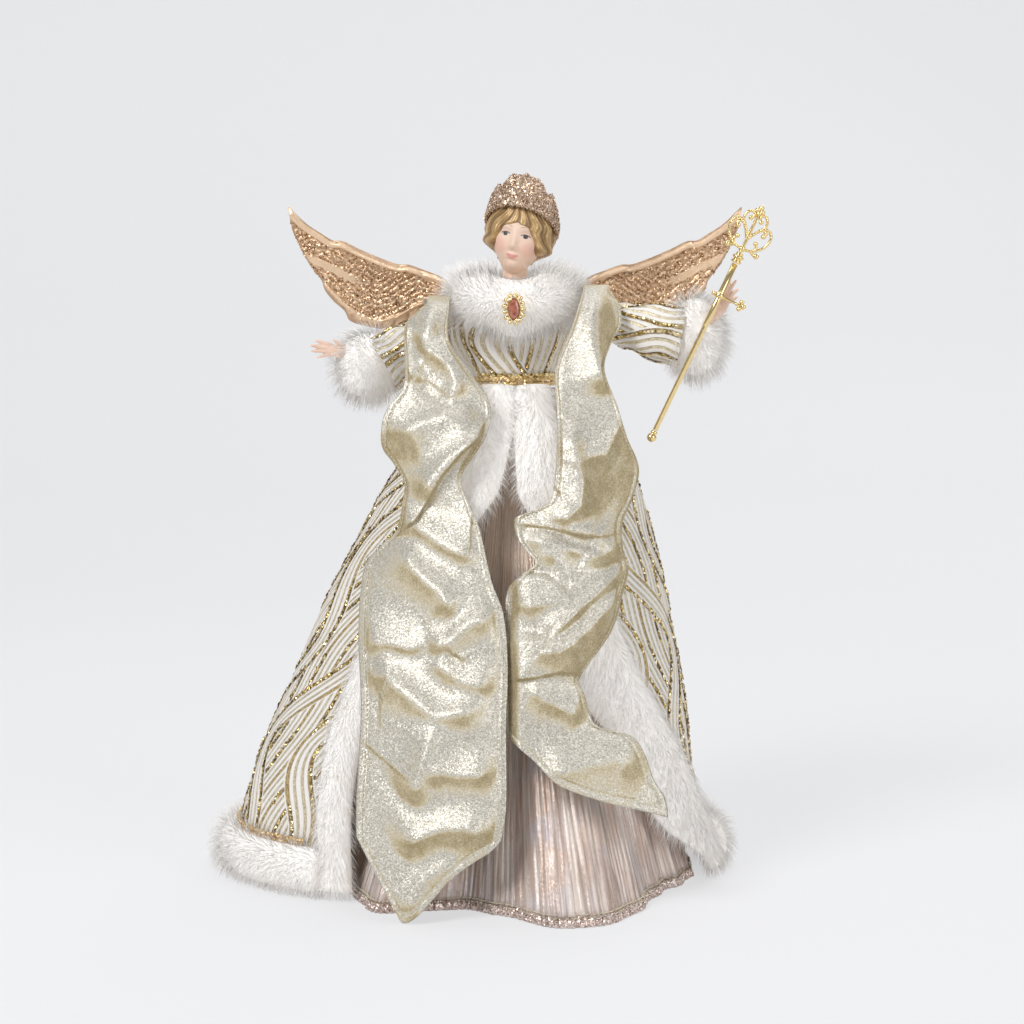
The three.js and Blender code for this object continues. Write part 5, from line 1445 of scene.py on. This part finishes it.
def panelGrid(panel, u, v):  # the first share of the rows lies over the shoulder, from behind it
    down = np.maximum(0, (v - stole["cap"]) / (1 - stole["cap"]))
    z = mix(panel["top"], panel["hem"](u), down)
    x = mix(panel["west"](z), panel["east"](z), u)
    rise = foldRise(panel["folds"], panel["steps"], x, z)
    spots = vec(x, 0, z)
    crumple = 0.8 * wobble(spots, 48, 3) + 0.06 * wobble(spots, 8, 4)
    edge = np.minimum(np.minimum(u, 1 - u) * 75, (1 - down) * 260)
    seam = 0.6 * smooth((stole["hem"] - edge) / 0.9) - 0.45 * bump(edge, stole["hem"], 0.6)
    slack = smooth(np.minimum(u, 1 - u) * 12)
    y = stoleY(x, z) - rise * mix(0.55, 1, slack) - crumple - seam + panel["tuck"] * smooth((3 - x) / 8)
    q = np.clip(v / stole["cap"], 0, 1)
    back, over = [vec(*spot) for spot in panel["cap"]]
    front = vec(0, y, z)
    bent = mix(mix(back, over, q[..., None]), mix(over, front, q[..., None]), q[..., None]) + vec(x, 0, 0)
    return np.where((down > 0)[..., None], vec(x, y, z), bent)


def panelFlat(panel):
    def flat(u, v):
        z = mix(panel["top"], panel["hem"](u), v)
        return np.stack([mix(panel["west"](z), panel["east"](z), u), z], -1)

    return flat


def frontNormals(spots):  # of a cloth that faces forward
    out = unit(np.cross(np.gradient(spots, axis=0), np.gradient(spots, axis=1)))
    return np.where(out[..., 1:2] > 0, -out, out)


def paintedShineOf(spots):  # painted light: near 1 where the cloth faces up and forward towards the light, falling to 0 on the turns that face away
    return smooth(((frontNormals(spots) * (-0.1, -0.78, 0.618)).sum(-1) - 0.6) / 0.29)


def stolePanel(name, panel, slotNode):
    grid = lambda u, v: panelGrid(panel, u, v)
    # each point keeps its painted shine, worked out from which way the cloth faces the light
    cloth = clothPiece(name, grid, stole["columns"], stole["rows"], "lame", flat=panelFlat(panel),
                       values={"nap": lambda u, v: paintedShineOf(grid(u, v))})
    spots = grid(*shares(120, 300))
    out = frontNormals(spots)
    i, j = 5, 295  # the stitches' column from each side, and their last row
    seam = spots + out * 0.3
    lines = [(seam[:j, i], out[:j, i]), (seam[:j, -i], out[:j, -i]), (seam[j, i:-i], out[j, i:-i])]
    stitches = rowsAlong(name + "Stitches", lines, "thread", "stitch", Spacing=2.6 * mm, Size=1.5 * mm,
                         Tilt=0.1, Seed=4)
    thicken(cloth, stole["wall"])
    settle(cloth, "figure", "stole_cloth", slotNode)
    settle(stitches, "figure", "stole_cloth")
    return cloth, stitches


rightCloth, rightStitches = stolePanel("stoleRightPanel", rightPanel, "stole_right_panel")
leftCloth, leftStitches = stolePanel("stoleLeftPanel", leftPanel, "stole_left_panel")


def bandGrid(u, v):
    half = [(0, 25.4, 314), (18, 25.2, 315), (34, 22.5, 321), (43, 15, 330), (44.5, 5, 335)]
    other = [(-x, y, z - 1) for x, y, z in half[1:]][::-1]
    line = path(*other, *half)
    tangent = unit(line(np.minimum(v + 0.004, 1)) - line(np.maximum(v - 0.004, 0)))
    lying = smooth(np.abs(2 * v - 1) * 1.6 - 0.5)
    face = vec(0, 1 - lying, lying)
    across = unit(np.cross(tangent, face))
    normal = np.cross(across, tangent)
    width = mix(7.8, 9.5, lying)
    ripple = 0.9 * np.sin(u * 9 + v * 14) + 0.5 * np.sin(u * 17 - v * 23)
    return line(v) + across * (width * (2 * u - 1))[..., None] + normal * (0.9 + ripple * 0.7)[..., None]


# painted highlight on the back band: lighter on the crests of its ripples, darker in their troughs
bandPaintedShine = lambda u, v: 0.5 + 0.3 * np.sin(u * 9 + v * 14)
bandCloth = clothPiece("stoleBackBand", bandGrid, 24, 150, "lame", values={"nap": bandPaintedShine})
thicken(bandCloth, 1.0)
settle(bandCloth, "figure", "stole_cloth", "stole_back_band")
print("stole draped")


# Head, hair and crown

head = {"centre": (2.4, -3, 371), "roll": 10.8, "yaw": -8, "low": -22.3, "high": 25, "middle": 1.35,
        "halfWidth": 15.6, "halfDepth": 17.4, "rows": 150, "sides": 180}
hair = {"low": -15.5, "high": 27.5, "halfWidth": 19.5, "halfDepth": 20.4, "rows": 150, "sides": 270}
crown = {"sweep": 108, "radius": 19.4, "wall": 1.1, "columns": 260, "rows": 26}
roll = Matrix.Rotation(math.radians(head["roll"]), 3, "Y")
yaw = Matrix.Rotation(math.radians(head["yaw"]), 3, "Z")
headTurn = np.array(roll @ yaw)


def ontoDoll(spots):  # from the head's own frame to the doll's
    return np.asarray(spots) @ headTurn.T + head["centre"]


def headPoint(turn, rise):
    z = mix(head["low"], head["high"], rise)
    girth = np.sqrt(np.maximum(0, 1 - ((z - head["middle"]) / (head["high"] - head["middle"])) ** 2))
    jaw = 1 - 0.3 * smooth((-3 - z) / 18)
    x = head["halfWidth"] * girth ** 0.8 * jaw * np.cos(turn)
    depth = head["halfDepth"] * girth ** 0.75 * (1 - 0.14 * smooth((-6 - z) / 16))
    facing = np.maximum(0, -np.sin(turn)) ** 2
    bridge = 2.9 * bump(z, -5.8, 2.4) + 1.5 * bump(z, -2.6, 3) + 0.7 * bump(z, 1.4, 3)
    nose = np.exp(-((x / 2.1) ** 2)) * bridge
    wings = 0.8 * (bump(x, -1.9, 1) + bump(x, 1.9, 1)) * bump(z, -6.6, 1.2)
    under = -0.7 * np.exp(-((x / 2.6) ** 2)) * bump(z, -8.6, 0.9)
    upper = 0.8 * np.exp(-((x / 3.4) ** 2)) * bump(z, -10.9, 0.75)
    lower = 0.95 * np.exp(-((x / 2.9) ** 2)) * bump(z, -12.4, 0.9)
    crease = -0.5 * np.exp(-((x / 3.2) ** 2)) * bump(z, -14.3, 1)
    chin = 1.3 * np.exp(-((x / 4.3) ** 2)) * bump(z, -17.8, 2.8)
    sockets = -1.35 * (bump(x, -6, 3.3) + bump(x, 6, 3.3)) * bump(z, 1.2, 2.8)
    balls = 0.8 * (bump(x, -5.9, 2) + bump(x, 5.9, 2)) * bump(z, 0.2, 1.5)
    brows = 0.5 * (bump(x, -6, 3.6) + bump(x, 6, 3.6)) * bump(z, 4.9, 1.6)
    cheeks = 0.8 * (bump(x, -8, 4) + bump(x, 8, 4)) * bump(z, -6.6, 4.4)
    out = (nose + wings + under + upper + lower + crease + chin + sockets + balls + brows + cheeks) * facing
    return vec(x, depth * np.sin(turn) - out, z)


def roundGrid(low, high, rows, sides):  # grids of the height's share and the turn of a rounded piece
    heights, turns = np.linspace(low, high, rows), np.linspace(0, 2 * pi, sides, endpoint=False)
    return np.meshgrid(heights, turns, indexing="ij")


def headPiece():
    rise, turn = roundGrid(0.006, 0.994, head["rows"], head["sides"])
    local = headPoint(turn, rise)
    return ringPiece("headFace", ontoDoll(local), "skin", {"onHead": local.reshape(-1, 3)})


def neckPiece():
    rings = limbRings([(2.2, 3.5, -34), (1, 3, -24), (0, 3, -12)], lambda t: mix(8, 6.8, t), 16, 36)
    return ringPiece("headNeck", ontoDoll(rings), "skin", {"onHead": rings.reshape(-1, 3)})


face = joined("paintedHead", headPiece(), neckPiece())
settle(face, "figure", "skin", "head")


def hairPiece():
    rise, turn = roundGrid(0.012, 0.992, hair["rows"], hair["sides"])
    z = mix(hair["low"], hair["high"], rise)
    girth = np.sqrt(np.maximum(0, 1 - ((z - 2.5) / 25.2) ** 2))
    full = 1 + 0.07 * bump(z, -3, 7) - 0.36 * smooth((-5 - z) / 10)
    side = np.tanh(4 * np.cos(turn))
    lean = 0.36 * z * side + 1.1 * np.sin(z * 0.42 + 1.5 * np.cos(turn))
    strand = turn * 13 + lean
    lock = 0.5 + 0.5 * np.sin(strand)
    fine = 0.5 + 0.5 * np.sin(strand * 3.4 + 1.3 * np.sin(z * 0.7))
    crest = 0.65 * lock ** 0.7 + 0.35 * fine
    roll = 0.8 * np.sin(z * 0.62 + 0.8 * np.sin(turn * 3)) * smooth((6 - z) / 8)
    crests = 0.9 * crest + roll - 0.4
    rx, ry = [hair[half] * girth ** 0.65 * full + crests for half in ("halfWidth", "halfDepth")]
    spots = vec(rx * np.cos(turn), 2.5 + ry * np.sin(turn), z)
    opening = ((spots[..., 0] / 14.2) ** 2 + ((z + 9.5) / 16.4) ** 2) ** 0.5 + 0.03 * lock
    hidden = smooth((1.06 - opening) / 0.13) * smooth((2 - spots[..., 1]) / 4)
    inner = vec(12.5 * girth * np.cos(turn), 1.5 + 13 * girth * np.sin(turn), z)
    spots = mix(spots, inner, hidden[..., None])
    return ringPiece("wavedHair", ontoDoll(spots), "hair", {"crest": (crest * (1 - hidden)).ravel()})


settle(hairPiece(), "figure", "hair_paint", "hair")

crownLow = profile((0, 16.8), (20, 16), (40, 13.8), (60, 10.4), (80, 6.6), (95, 3.4), (108, 1.5))
crownTop = profile((0, 35.8), (5, 34.6), (10, 34), (22, 33.9), (28, 32.2), (34, 29.6), (41, 26), (46, 25.9),
                   (50, 27.1), (54, 25.8), (60, 22.4), (68, 19.6), (80, 14), (95, 8.6), (108, 4.5))


def crownPiece():
    u, v = shares(crown["columns"] + 1, crown["rows"] + 1)
    turn = mix(-crown["sweep"], crown["sweep"], u)
    z = mix(crownLow(np.abs(turn)), crownTop(np.abs(turn)), v)
    lean = 1.2 * smooth((z - 22) / 14) - 0.6 * bump(z, 8, 6)
    arches = 0.8 * np.abs(np.sin(np.radians(turn) * 5)) * smooth(v * 4) * smooth((1 - v) * 4)
    rim = 0.9 * bump(v, 0.06, 0.07) + 0.7 * bump(v, 0.95, 0.06)
    angle = np.radians(turn - 90)

    def layer(out):
        r = crown["radius"] - lean + out
        return vec(r * np.cos(angle), 2.5 + (r + 0.9) * np.sin(angle), z)

    outer, inner = layer(crown["wall"] + arches + rim), layer(0)
    rings = np.concatenate([outer, inner[::-1]], 0).transpose(1, 0, 2)
    cover = np.ones(rings.shape[0] * rings.shape[1])
    plate = ringPiece("glitterCrown", ontoDoll(rings), "crown", {"cover": cover})
    grains = grow(plate, groups["grain"], "crownGrains", "crown", Density=1.1e6, Size=0.95 * mm, Seed=2)
    return plate, grains


crownPlate, crownGrains = crownPiece()
settle(crownPlate, "figure", "crown_glitter", "crown")
settle(crownGrains, "figure", "crown_glitter")
print("head finished")


# Brooch

brooch = {
    "centre": np.array((-0.6, -42.5, 330)),
    # half width, half height and place from back to front of each ring
    "plate": [(4.9, 7.7, 0.8), (5.3, 8.1, 0.2), (5.3, 8.1, -0.5), (4.6, 7.3, -0.9), (4.0, 6.9, -0.9),
              (3.9, 6.8, -2.0), (3.3, 6.2, -2.1), (3.2, 6.1, -0.9)],
    "facets": [(3.15, 6.05, -0.9), (3.3, 6.2, -1.7), (2.5, 5.0, -3.0), (1.5, 3.4, -3.4)],
}


def broochPieces():
    centre = brooch["centre"]

    def oval(rx, rz, y, sides=40):
        turn = np.linspace(0, 2 * pi, sides, endpoint=False)
        return centre + vec(rx * np.cos(turn), y, rz * np.sin(turn))

    plate = ringPiece("broochPlate", [oval(*ring) for ring in brooch["plate"]], "gold")
    facets = [oval(*ring, sides=12) for ring in brooch["facets"]]
    stone = ringPiece("broochStone", facets, "amber", smoothFaces=False)
    turn = np.linspace(0, 2 * pi, 90)
    line = centre + vec(5.5 * np.cos(turn), -1.1, 8.2 * np.sin(turn))
    facing = np.tile((0, -1.0, 0), (90, 1))
    beads = rowsAlong("broochBeads", [(line, facing)], "gold", "bead", Spacing=3.3 * mm, Size=2.7 * mm,
                      Seed=3)
    inner = centre + vec(4.5 * np.cos(turn), -1.9, 7.3 * np.sin(turn))
    chips = rowsAlong("broochChips", [(inner, facing)], "clear", "bead", Spacing=2.1 * mm, Size=1.3 * mm,
                      Seed=6)
    return plate, stone, beads, chips


plate, stone, beads, chips = broochPieces()
settle(plate, "figure", "polished_gold", "brooch_setting")
settle(stone, "figure", "stone", "brooch_stone")
settle(beads, "figure", "polished_gold")
settle(chips, "figure", "stone")
print("brooch set")


# Wings: one casting each, with fields of glitter between smooth rims

wing = {"y": 31, "bow": 9, "columns": 200, "rows": 92, "wall": 1.1}
wingTop = path((38, 342), (43, 347), (53.8, 351.4), (63, 354.6), (69, 354.8), (78.6, 358), (92.8, 364),
               (102, 368.4), (108, 368.9), (115, 373), (124, 379), (134, 388.6))
wingBottom = path((40, 335), (46, 327), (54, 320.5), (62, 317), (70, 315.6), (80, 316.4), (90, 318.4),
                  (98.4, 321.5), (101.3, 327), (108, 333), (113.1, 339.6), (114.8, 344.9), (120, 352),
                  (125.3, 360.2), (131.7, 374.9), (134.6, 388))
arcRim = [(118, 348), (114.3, 344), (109.1, 338.7), (102.3, 331.7), (95.4, 326.4), (88.6, 322.9), (80, 321.1),
          (69.7, 323.7), (59.4, 329.9), (50.9, 333.4), (42, 338)]
flatBand = [(124, 359), (112, 354.2), (103, 349.4), (96, 345.6), (86, 344)]


def wingRelief(x, z, w, t):
    topGap = awayFrom(wingTop(np.linspace(0, 1, 60)), x, z)[0]
    arcGap, arcSide, arcShare = awayFrom(arcRim, x, z)
    bandGap, _, bandShare = awayFrom(flatBand, x, z)
    lengths = 1 + 0.5 * smooth((106 - x) / 1.5) + 0.6 * smooth((68 - x) / 1.5)
    rim = lengths * np.sqrt(np.maximum(0, 1 - ((topGap - 2.1) / 2.5) ** 2)) * 1.3
    arc = 1.5 * np.exp(-((arcGap / 1.2) ** 2)) * smooth((1 - arcShare) / 0.25)
    fringe = smooth(arcSide * arcGap / 1.2 - 0.6)
    scallop = np.abs(np.sin(arcShare * 34 + arcGap * 0.25)) ** 0.6 * fringe
    root = smooth((64 - x) / 14)
    fan = 0.55 * np.sin(np.arctan2(z - 337, x - 34) * 46) * root
    barbs = 0.28 * np.sin(arcGap * 2.1 + 0.12 * x) * (1 - root)
    band = smooth((2.6 - bandGap) / 0.8) * smooth(bandShare / 0.03 + 0.5) * smooth((1 - bandShare) / 0.3)
    rough = 0.45 * wobble(vec(x, 0, z), 2.6, 8, 9)
    field = (barbs + rough) * (1 - band) * (1 - fringe) * smooth((topGap - 4.2) / 1)
    slope = 0.9 * smooth((30 - arcGap) / 30) * (1 - fringe)
    height = 0.5 + rim + arc + scallop + fan + field + 0.5 * band + slope
    inside = smooth((topGap - 4.0) / 1.2) * (1 - band) * (1 - fringe)
    glitter = inside * (1 - root * 0.8) * smooth((arcGap - 0.9) / 0.8)
    edge = smooth(np.minimum(np.minimum(w, 1 - w) * 9, np.minimum(t, 1 - t) * 26))
    return height * mix(0.15, 1, edge), glitter


def wingPiece(name, side):
    t, w = shares(wing["columns"] + 1, wing["rows"] + 1)
    flat = mix(wingTop(t), wingBottom(t), w[..., None])
    x, z = flat[..., 0], flat[..., 1]
    height, glitter = wingRelief(x, z, w, t)
    y = wing["y"] + wing["bow"] * smooth((x - 40) / 95) ** 1.3 + 6 * w * smooth(t * 4) * (1 - t)
    front = vec(side * x, y - wing["wall"] / 2 - height, z)
    back = vec(side * x, y + wing["wall"] / 2 + height * 0.7, z)
    rings = np.concatenate([front, back[::-1]], 0).transpose(1, 0, 2)
    crest = np.concatenate([height, height[::-1]], 0).T.ravel() / 2.6
    cover = np.concatenate([glitter, glitter[::-1]], 0).T.ravel()
    plate = ringPiece(name, rings, "wing", {"crest": crest, "cover": cover})
    grains = grow(plate, groups["grain"], name + "Grains", "wingGrain", Density=0.85e6, Size=1.0 * mm,
                  Seed=7 + side)
    root = [(side * 23, 34, 330), (side * 32, 34, 332), (side * 45, 33.5, 336)]
    boss = ringPiece(name + "Boss", limbRings(root, lambda t: mix(6, 8.5, t), 14, 28, 0.6), "wing")
    return joined(name, plate, boss), grains


for side, word in ((1, "left"), (-1, "right")):
    plate, grains = wingPiece("wingCasting" + word.capitalize(), side)
    settle(plate, "figure", "wing_paint", "wing_" + word)
    settle(grains, "figure", "wing_paint")
print("wings cast")


# Arms: sleeves from the shoulders, fur cuffs and painted hands

arms = {
    "right": {"side": -1, "shoulder": (-33, 0, 325.5), "wrist": (-96, -22, 305), "fingers": (-117, -27, 308),
              "cuff": (-84, -16, 297), "cuffSize": (20, 18, 24)},
    "left": {"side": 1, "shoulder": (33, 0, 325.5), "wrist": (114.5, -30, 328), "fingers": (127.5, -32, 346),
             "cuff": (104, -14, 313.5), "cuffSize": (19, 18, 29)},
}
sleeves = {"shoulder": 8.6, "mouth": 17.3, "flat": 0.84, "wall": 1.2, "columns": 96, "rows": 60}
cuffs = {"shrink": 0.73, "rings": 60, "sides": 60}
cuffPile = {"Density": 0.8e6, "Length": 11.5 * mm, "Thickness": 0.42 * mm, "Lean": 0.6, "Wild": 0.5,
            "Curl": 0.3}


def sleeveGrid(arm):
    side, cuff = arm["side"], np.array(arm["cuff"], float)
    start, end = np.array(arm["shoulder"], float), cuff + (-side * 6, 1, 0)
    way = unit(end - start)
    up = unit(np.array((0, 0, 1.0)) - way * way[2])
    front = np.cross(way, up)

    def grid(u, v):
        angle = 2 * pi * u
        radius = mix(sleeves["shoulder"], sleeves["mouth"], smooth(np.clip(v * 1.12 - 0.08, 0, 1)))
        puff = 0.7 * np.sin(v * 19 + 2 * np.sin(angle)) * smooth(v * 3)
        radius = radius + (puff + 0.5 * np.sin(angle * 7 + v * 6) * smooth(v * 2))
        high = up * (radius * np.cos(angle))[..., None]
        deep = front * (radius * sleeves["flat"] * np.sin(angle) * side)[..., None]
        return mix(start, end, v[..., None]) + high + deep

    return grid, way


def sleeveFlat(u, v):
    return np.stack([u * 100, v * 62 + 30], -1)


def dressSleeve(word, arm):
    body, side = word + "_arm", arm["side"]
    grid, way = sleeveGrid(arm)
    sleeve = clothPiece("sleeve" + word.capitalize(), grid, sleeves["columns"], sleeves["rows"], "coat",
                        wrapped=True, flat=sleeveFlat)
    sample = sleeve.data.polygons[2000]
    if sample.normal.dot(sample.center - Vector(tuple((np.array(arm["cuff"]) + dollAxis) * mm))) < 0:
        sleeve.data.flip_normals()
    u, v = shares(160, 40, along=(0.1, 0.97))
    cut = sleeveFlat(u, v)
    shoulder, rows = np.array(arm["shoulder"], float), []
    for p, _ in sequinLines(grid(u, v), cut[..., 0], cut[..., 1], 0.0):
        facing = unit(p - (shoulder + way * ((p - shoulder) @ way)[:, None]))
        rows.append((p + facing * 0.5, facing))
    sequins = rowsAlong("sleeveSequins" + word.capitalize(), rows, "sequin", "sequin", Spacing=1.5 * mm,
                        Size=2.4 * mm, Tilt=0.4, Seed=14)
    thicken(sleeve, sleeves["wall"])
    for piece in (sleeve, sequins):
        start = (np.array((side * 35.5, 0, 326)) + dollAxis) * mm
        end = (np.array((side * 47.0, 0, 324)) + dollAxis) * mm
        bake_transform(piece)
    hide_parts("sleeve_" + word)


def dressCuff(word, arm):
    centre, size = np.array(arm["cuff"], float), arm["cuffSize"]
    along = unit((np.array(arm["wrist"]) - centre) * (1, 1, 0))
    across = np.array((-along[1], along[0], 0))
    a = np.linspace(-0.47 * pi, 0.47 * pi, cuffs["rings"])[:, None]
    girth = np.maximum(np.cos(a), 0.02) ** 0.6
    shrink = cuffs["shrink"]
    rings = ovals(centre + along * size[0] * shrink * 1.1 * np.sin(a), across * size[1] * shrink * girth,
                  np.array((0, 0, 1.0)) * size[2] * shrink * 1.05 * girth, cuffs["sides"])
    spots = rings.reshape(-1, 3)
    comb = unit(unit(spots - centre) * 0.6 + np.array((0, 0, -0.5)) + along * 0.2)
    name = "cuffFur" + word.capitalize()
    cuff = ringPiece(name, rings, "fur", {"comb": comb, "cover": np.ones(len(spots))})
    cuff = furCoat(name, cuff, **{**cuffPile, "Seed": 20 + arm["side"]})
    settle(cuff, word + "_arm", "fur", "cuff_fur_" + word)


for word, arm in arms.items():
    dressSleeve(word, arm)
    dressCuff(word, arm)
print("sleeves and cuffs made")

handScale = 0.9
openHand = {
    "palm": [(-5, 0, 0), (3, 0, 0.5), (8, 0, 0.3), (13, 0, 0)],
    "fingers": [([(10, 0, -2.6), (16, -0.8, -4), (22, -1.6, -4.6)], 1.5),
                ([(11, 0, -0.9), (18, -0.8, -1.2), (25, -1.8, -1.2)], 1.55),
                ([(11, 0, 0.9), (17.5, -0.4, 1.6), (23.5, -0.8, 2.2)], 1.45),
                ([(10, 0, 2.4), (15, 0.4, 4.4), (19, 0.6, 6.2)], 1.25),
                ([(3, -1, -2.4), (7, -3.4, -5), (11, -4.4, -7)], 1.6)],
}
grippingHand = {
    "palm": [(-5, 0, 0), (3, 0, 0), (8, 0, 0.2), (13, 0, 0.4)],
    "fingers": [([(10, 0, 2.6), (16, -0.6, 4.2), (22, -0.4, 5)], 1.5),
                ([(11, 0, 0.9), (18, -0.4, 1.8), (24, -0.2, 2)], 1.5),
                ([(11, 0, -0.8), (16.5, -1.4, -1.4), (20.5, -3, -2.4)], 1.45),
                ([(9.5, 0, -2.4), (13.5, -2, -3.8), (16, -4, -4.8)], 1.3),
                ([(3.5, -1.2, 2.2), (6, -5, 4.2), (10, -7.4, 4.6)], 1.55)],
}


def handPiece(name, arm, shape):
    wrist, tips = np.array(arm["wrist"], float), np.array(arm["fingers"], float)
    along = unit(tips - wrist)
    away = unit(np.array((0, 1.0, 0)) - along * along[1])
    basis = np.stack([along, away, np.cross(along, away)]) * handScale
    placed = lambda rings: wrist + rings @ basis
    palm = limbRings(shape["palm"], lambda t: mix(3, 4.2, math.sin(pi * t)), 14, 20, 0.55)
    parts = [ringPiece(name + "Palm", placed(palm), "hands")]
    for i, (line, radius) in enumerate(shape["fingers"]):
        taper = lambda t: radius * (1 - 0.3 * t) * math.sqrt(max(0.12, 1 - t ** 8))
        parts.append(ringPiece(f"{name}Finger{i}", placed(limbRings(line, taper, 16, 14)), "hands"))
    start = mix(wrist, np.array(arm["cuff"], float), 0.75)
    forearm = [start, mix(start, wrist, 0.5), wrist + along * 2]
    parts.append(ringPiece(name + "Wrist", limbRings(forearm, lambda t: 3.2, 8, 16), "hands"))
    return meld(name, parts, 0.42, "hands", 5)


settle(handPiece("handRight", arms["right"], openHand), "right_arm", "skin", "hand_right")
settle(handPiece("handLeft", arms["left"], grippingHand), "left_arm", "skin", "hand_left")
print("hands cast")


# Scepter: turned rod, ringed neck, ball foot, and an openwork head of beaded wire

scepter = {"foot": np.array((79.6, -36, 261.2)), "neck": np.array((124.7, -36, 356.4)), "wire": 0.85}
scepterLength = float(np.linalg.norm(scepter["neck"] - scepter["foot"]))
scepterWay = unit(scepter["neck"] - scepter["foot"])
scepterSide = np.array((scepterWay[2], 0, -scepterWay[0]))


def onScepter(spots):
    spots = np.asarray(spots, float)
    across, back, along = spots[..., :1], spots[..., 1:2], spots[..., 2:]
    return scepter["foot"] + across * scepterSide + back * np.array((0, 1.0, 0)) + along * scepterWay


def turned(name, outline, lift=0):
    lifted = [(r, z + lift) for r, z in outline]
    return lathePiece(name, lifted, scepter["foot"], scepterWay, "gold")


step, top = scepterLength * 0.62, scepterLength - 1
rod = turned("scepterRod", [(0, 0), (1.35, 0), (1.5, 0.3), (1.5, step - 0.3), (1.55, step), (1.8, step + 0.5),
                            (1.8, top - 0.2), (0, top)])
foot = turned("scepterFoot", [(0, -7.2), (1.1, -7), (2.1, -6.3), (2.75, -5.2), (2.85, -4.3), (2.5, -3.2),
                              (1.7, -2.5), (1.3, -2.2), (1.9, -1.9), (2.15, -1.4), (1.9, -0.9), (1.6, -0.4),
                              (0, -0.4)])
neckRings = [(0, 0), (2.2, 0), (2.7, 0.2), (3.2, 0.7), (3.2, 1.1), (2.6, 1.7), (2.2, 2.0), (2.3, 2.5),
             (3.1, 3.0), (3.6, 3.6), (3.1, 4.3), (2.4, 4.7), (2.0, 5.2), (2.3, 5.7), (1.9, 6.4), (0, 6.7)]
neck = turned("scepterNeck", neckRings, scepterLength - 0.6)
headLift = scepterLength + 2.6
headCurves = {  # across and up from the neck, drawn on both sides of the stem
    "loop": [(0.4, 5.5), (4.5, 6.2), (9.5, 9.5), (12, 14), (11.9, 18.6), (8.8, 21), (5.2, 19.6), (2.6, 15.8),
             (0.2, 11.5)],
    "heart": [(0.2, 13.5), (3.6, 17.2), (6.4, 21), (6.6, 24.6), (4.6, 27.2), (2.2, 26.8), (1.9, 24.8),
              (3.2, 23.4)],
    "curl": [(5.2, 19.6), (7.4, 19.6), (8.9, 18.2), (7.9, 16.7)],
    "leaf": [(6.5, 7.4), (6.8, 9.4), (5.7, 11.3)],
    "lower": [(5, 6.4), (7.2, 4.8), (9, 5)],
}
headBalls = [(7.9, 16.7, 1.5), (5.7, 11.3, 1.4), (9, 5, 1.7), (3.2, 23.4, 1.4), (1.5, 28.8, 1.6)]
stemBalls = [(0, 5.6, 2), (0, 27.2, 1.6), (0, 30.6, 1.7)]


def headLines():
    lines = []
    for side in (-1, 1):
        for points in headCurves.values():
            reach = np.linalg.norm(np.diff(np.array(points), axis=0), axis=1).sum()
            line = path(*[(side * x, 0, z) for x, z in points])(np.linspace(0, 1, int(reach * 1.6) + 6))
            lines.append(line + (0, 0, headLift))
    return lines


def ballPiece(name, centre, radius):
    a = np.linspace(-0.48 * pi, 0.48 * pi, 13)
    outline = [(radius * math.cos(t), radius * math.sin(t)) for t in a]
    return lathePiece(name, outline, onScepter(centre), scepterWay, "gold", 18)


def wirePiece(name, line, radius):
    return ringPiece(name, limbRings(line, lambda t: radius, 40, 10), "gold")


def scepterHead():
    curves = headLines()
    wires = [(f"headWire{i}", onScepter(line[::3])) for i, line in enumerate(curves)]
    parts = [wirePiece(name, line, scepter["wire"]) for name, line in wires]
    balls = [(side * x, z, r) for x, z, r in headBalls for side in (-1, 1)] + stemBalls
    for i, (x, z, r) in enumerate(balls):
        parts.append(ballPiece(f"headBall{i}", (x, 0, z + headLift), r))
    parts.append(wirePiece("headStem", onScepter([(0, 0, headLift + z) for z in (3.8, 17, 30.6)]), 1.0))
    body = joined("scepterHead", *parts)
    rows = []
    for line in curves:
        spots = onScepter(line)
        rows.append((spots + (0, -0.35, 0), np.tile((0, -1.0, 0), (len(spots), 1))))
        rows.append((spots + (0, 0.35, 0), np.tile((0, 1.0, 0), (len(spots), 1))))
    beading = rowsAlong("scepterBeading", rows, "gold", "bead", Spacing=1.45 * mm, Size=1.4 * mm, Seed=5)
    return body, beading


def scepterGuard():
    lift, inner = scepterLength * 0.8, 2.2
    outline = [(inner, -1.3), (inner + 0.7, -1.1), (inner + 0.9, 0), (inner + 0.7, 1.3)]
    ring = turned("guardRing", outline, lift)
    arm = wirePiece("guardArm", onScepter([(inner, 0, lift), (8, 0, lift), (14, 0, lift)]), 0.8)
    places = [(14.8, 0, 1.6), (13, 2.1, 1.45), (13, -2.1, 1.45), (-3.6, 0, 1.4), (10.6, 0, 1.1)]
    balls = [ballPiece(f"guardBall{i}", (x, 0, z + lift), r) for i, (x, z, r) in enumerate(places)]
    return joined("scepterGuard", ring, arm, *balls)


headWire, beading = scepterHead()
settle(rod, "left_arm", "polished_gold", "scepter_rod")
settle(foot, "left_arm", "polished_gold", "scepter_foot")
settle(neck, "left_arm", "polished_gold", "scepter_neck")
settle(headWire, "left_arm", "polished_gold", "scepter_head")
settle(beading, "left_arm", "polished_gold")
settle(scepterGuard(), "left_arm", "polished_gold", "scepter_guard")
print("scepter turned")


# Finishes of the CAD nodes that stay

kept = {
    "support_cone": "card", "torso_core": "muslin", "shoulder_wire": "steel", "neck_dowel": "wood",
    "belt": "sequin",
    "wing_strap": "steel", "strap_screw_left": "steel", "strap_screw_right": "steel",
    "arm_wire_left": "steel", "arm_wire_right": "steel",
}
for node, look in kept.items():
    nodeObject = bpy.data.objects[node]
    for slotOf in nodeObject.material_slots:
        slotOf.material = finishes[look]
print("CAD nodes kept and finished:", len(kept))
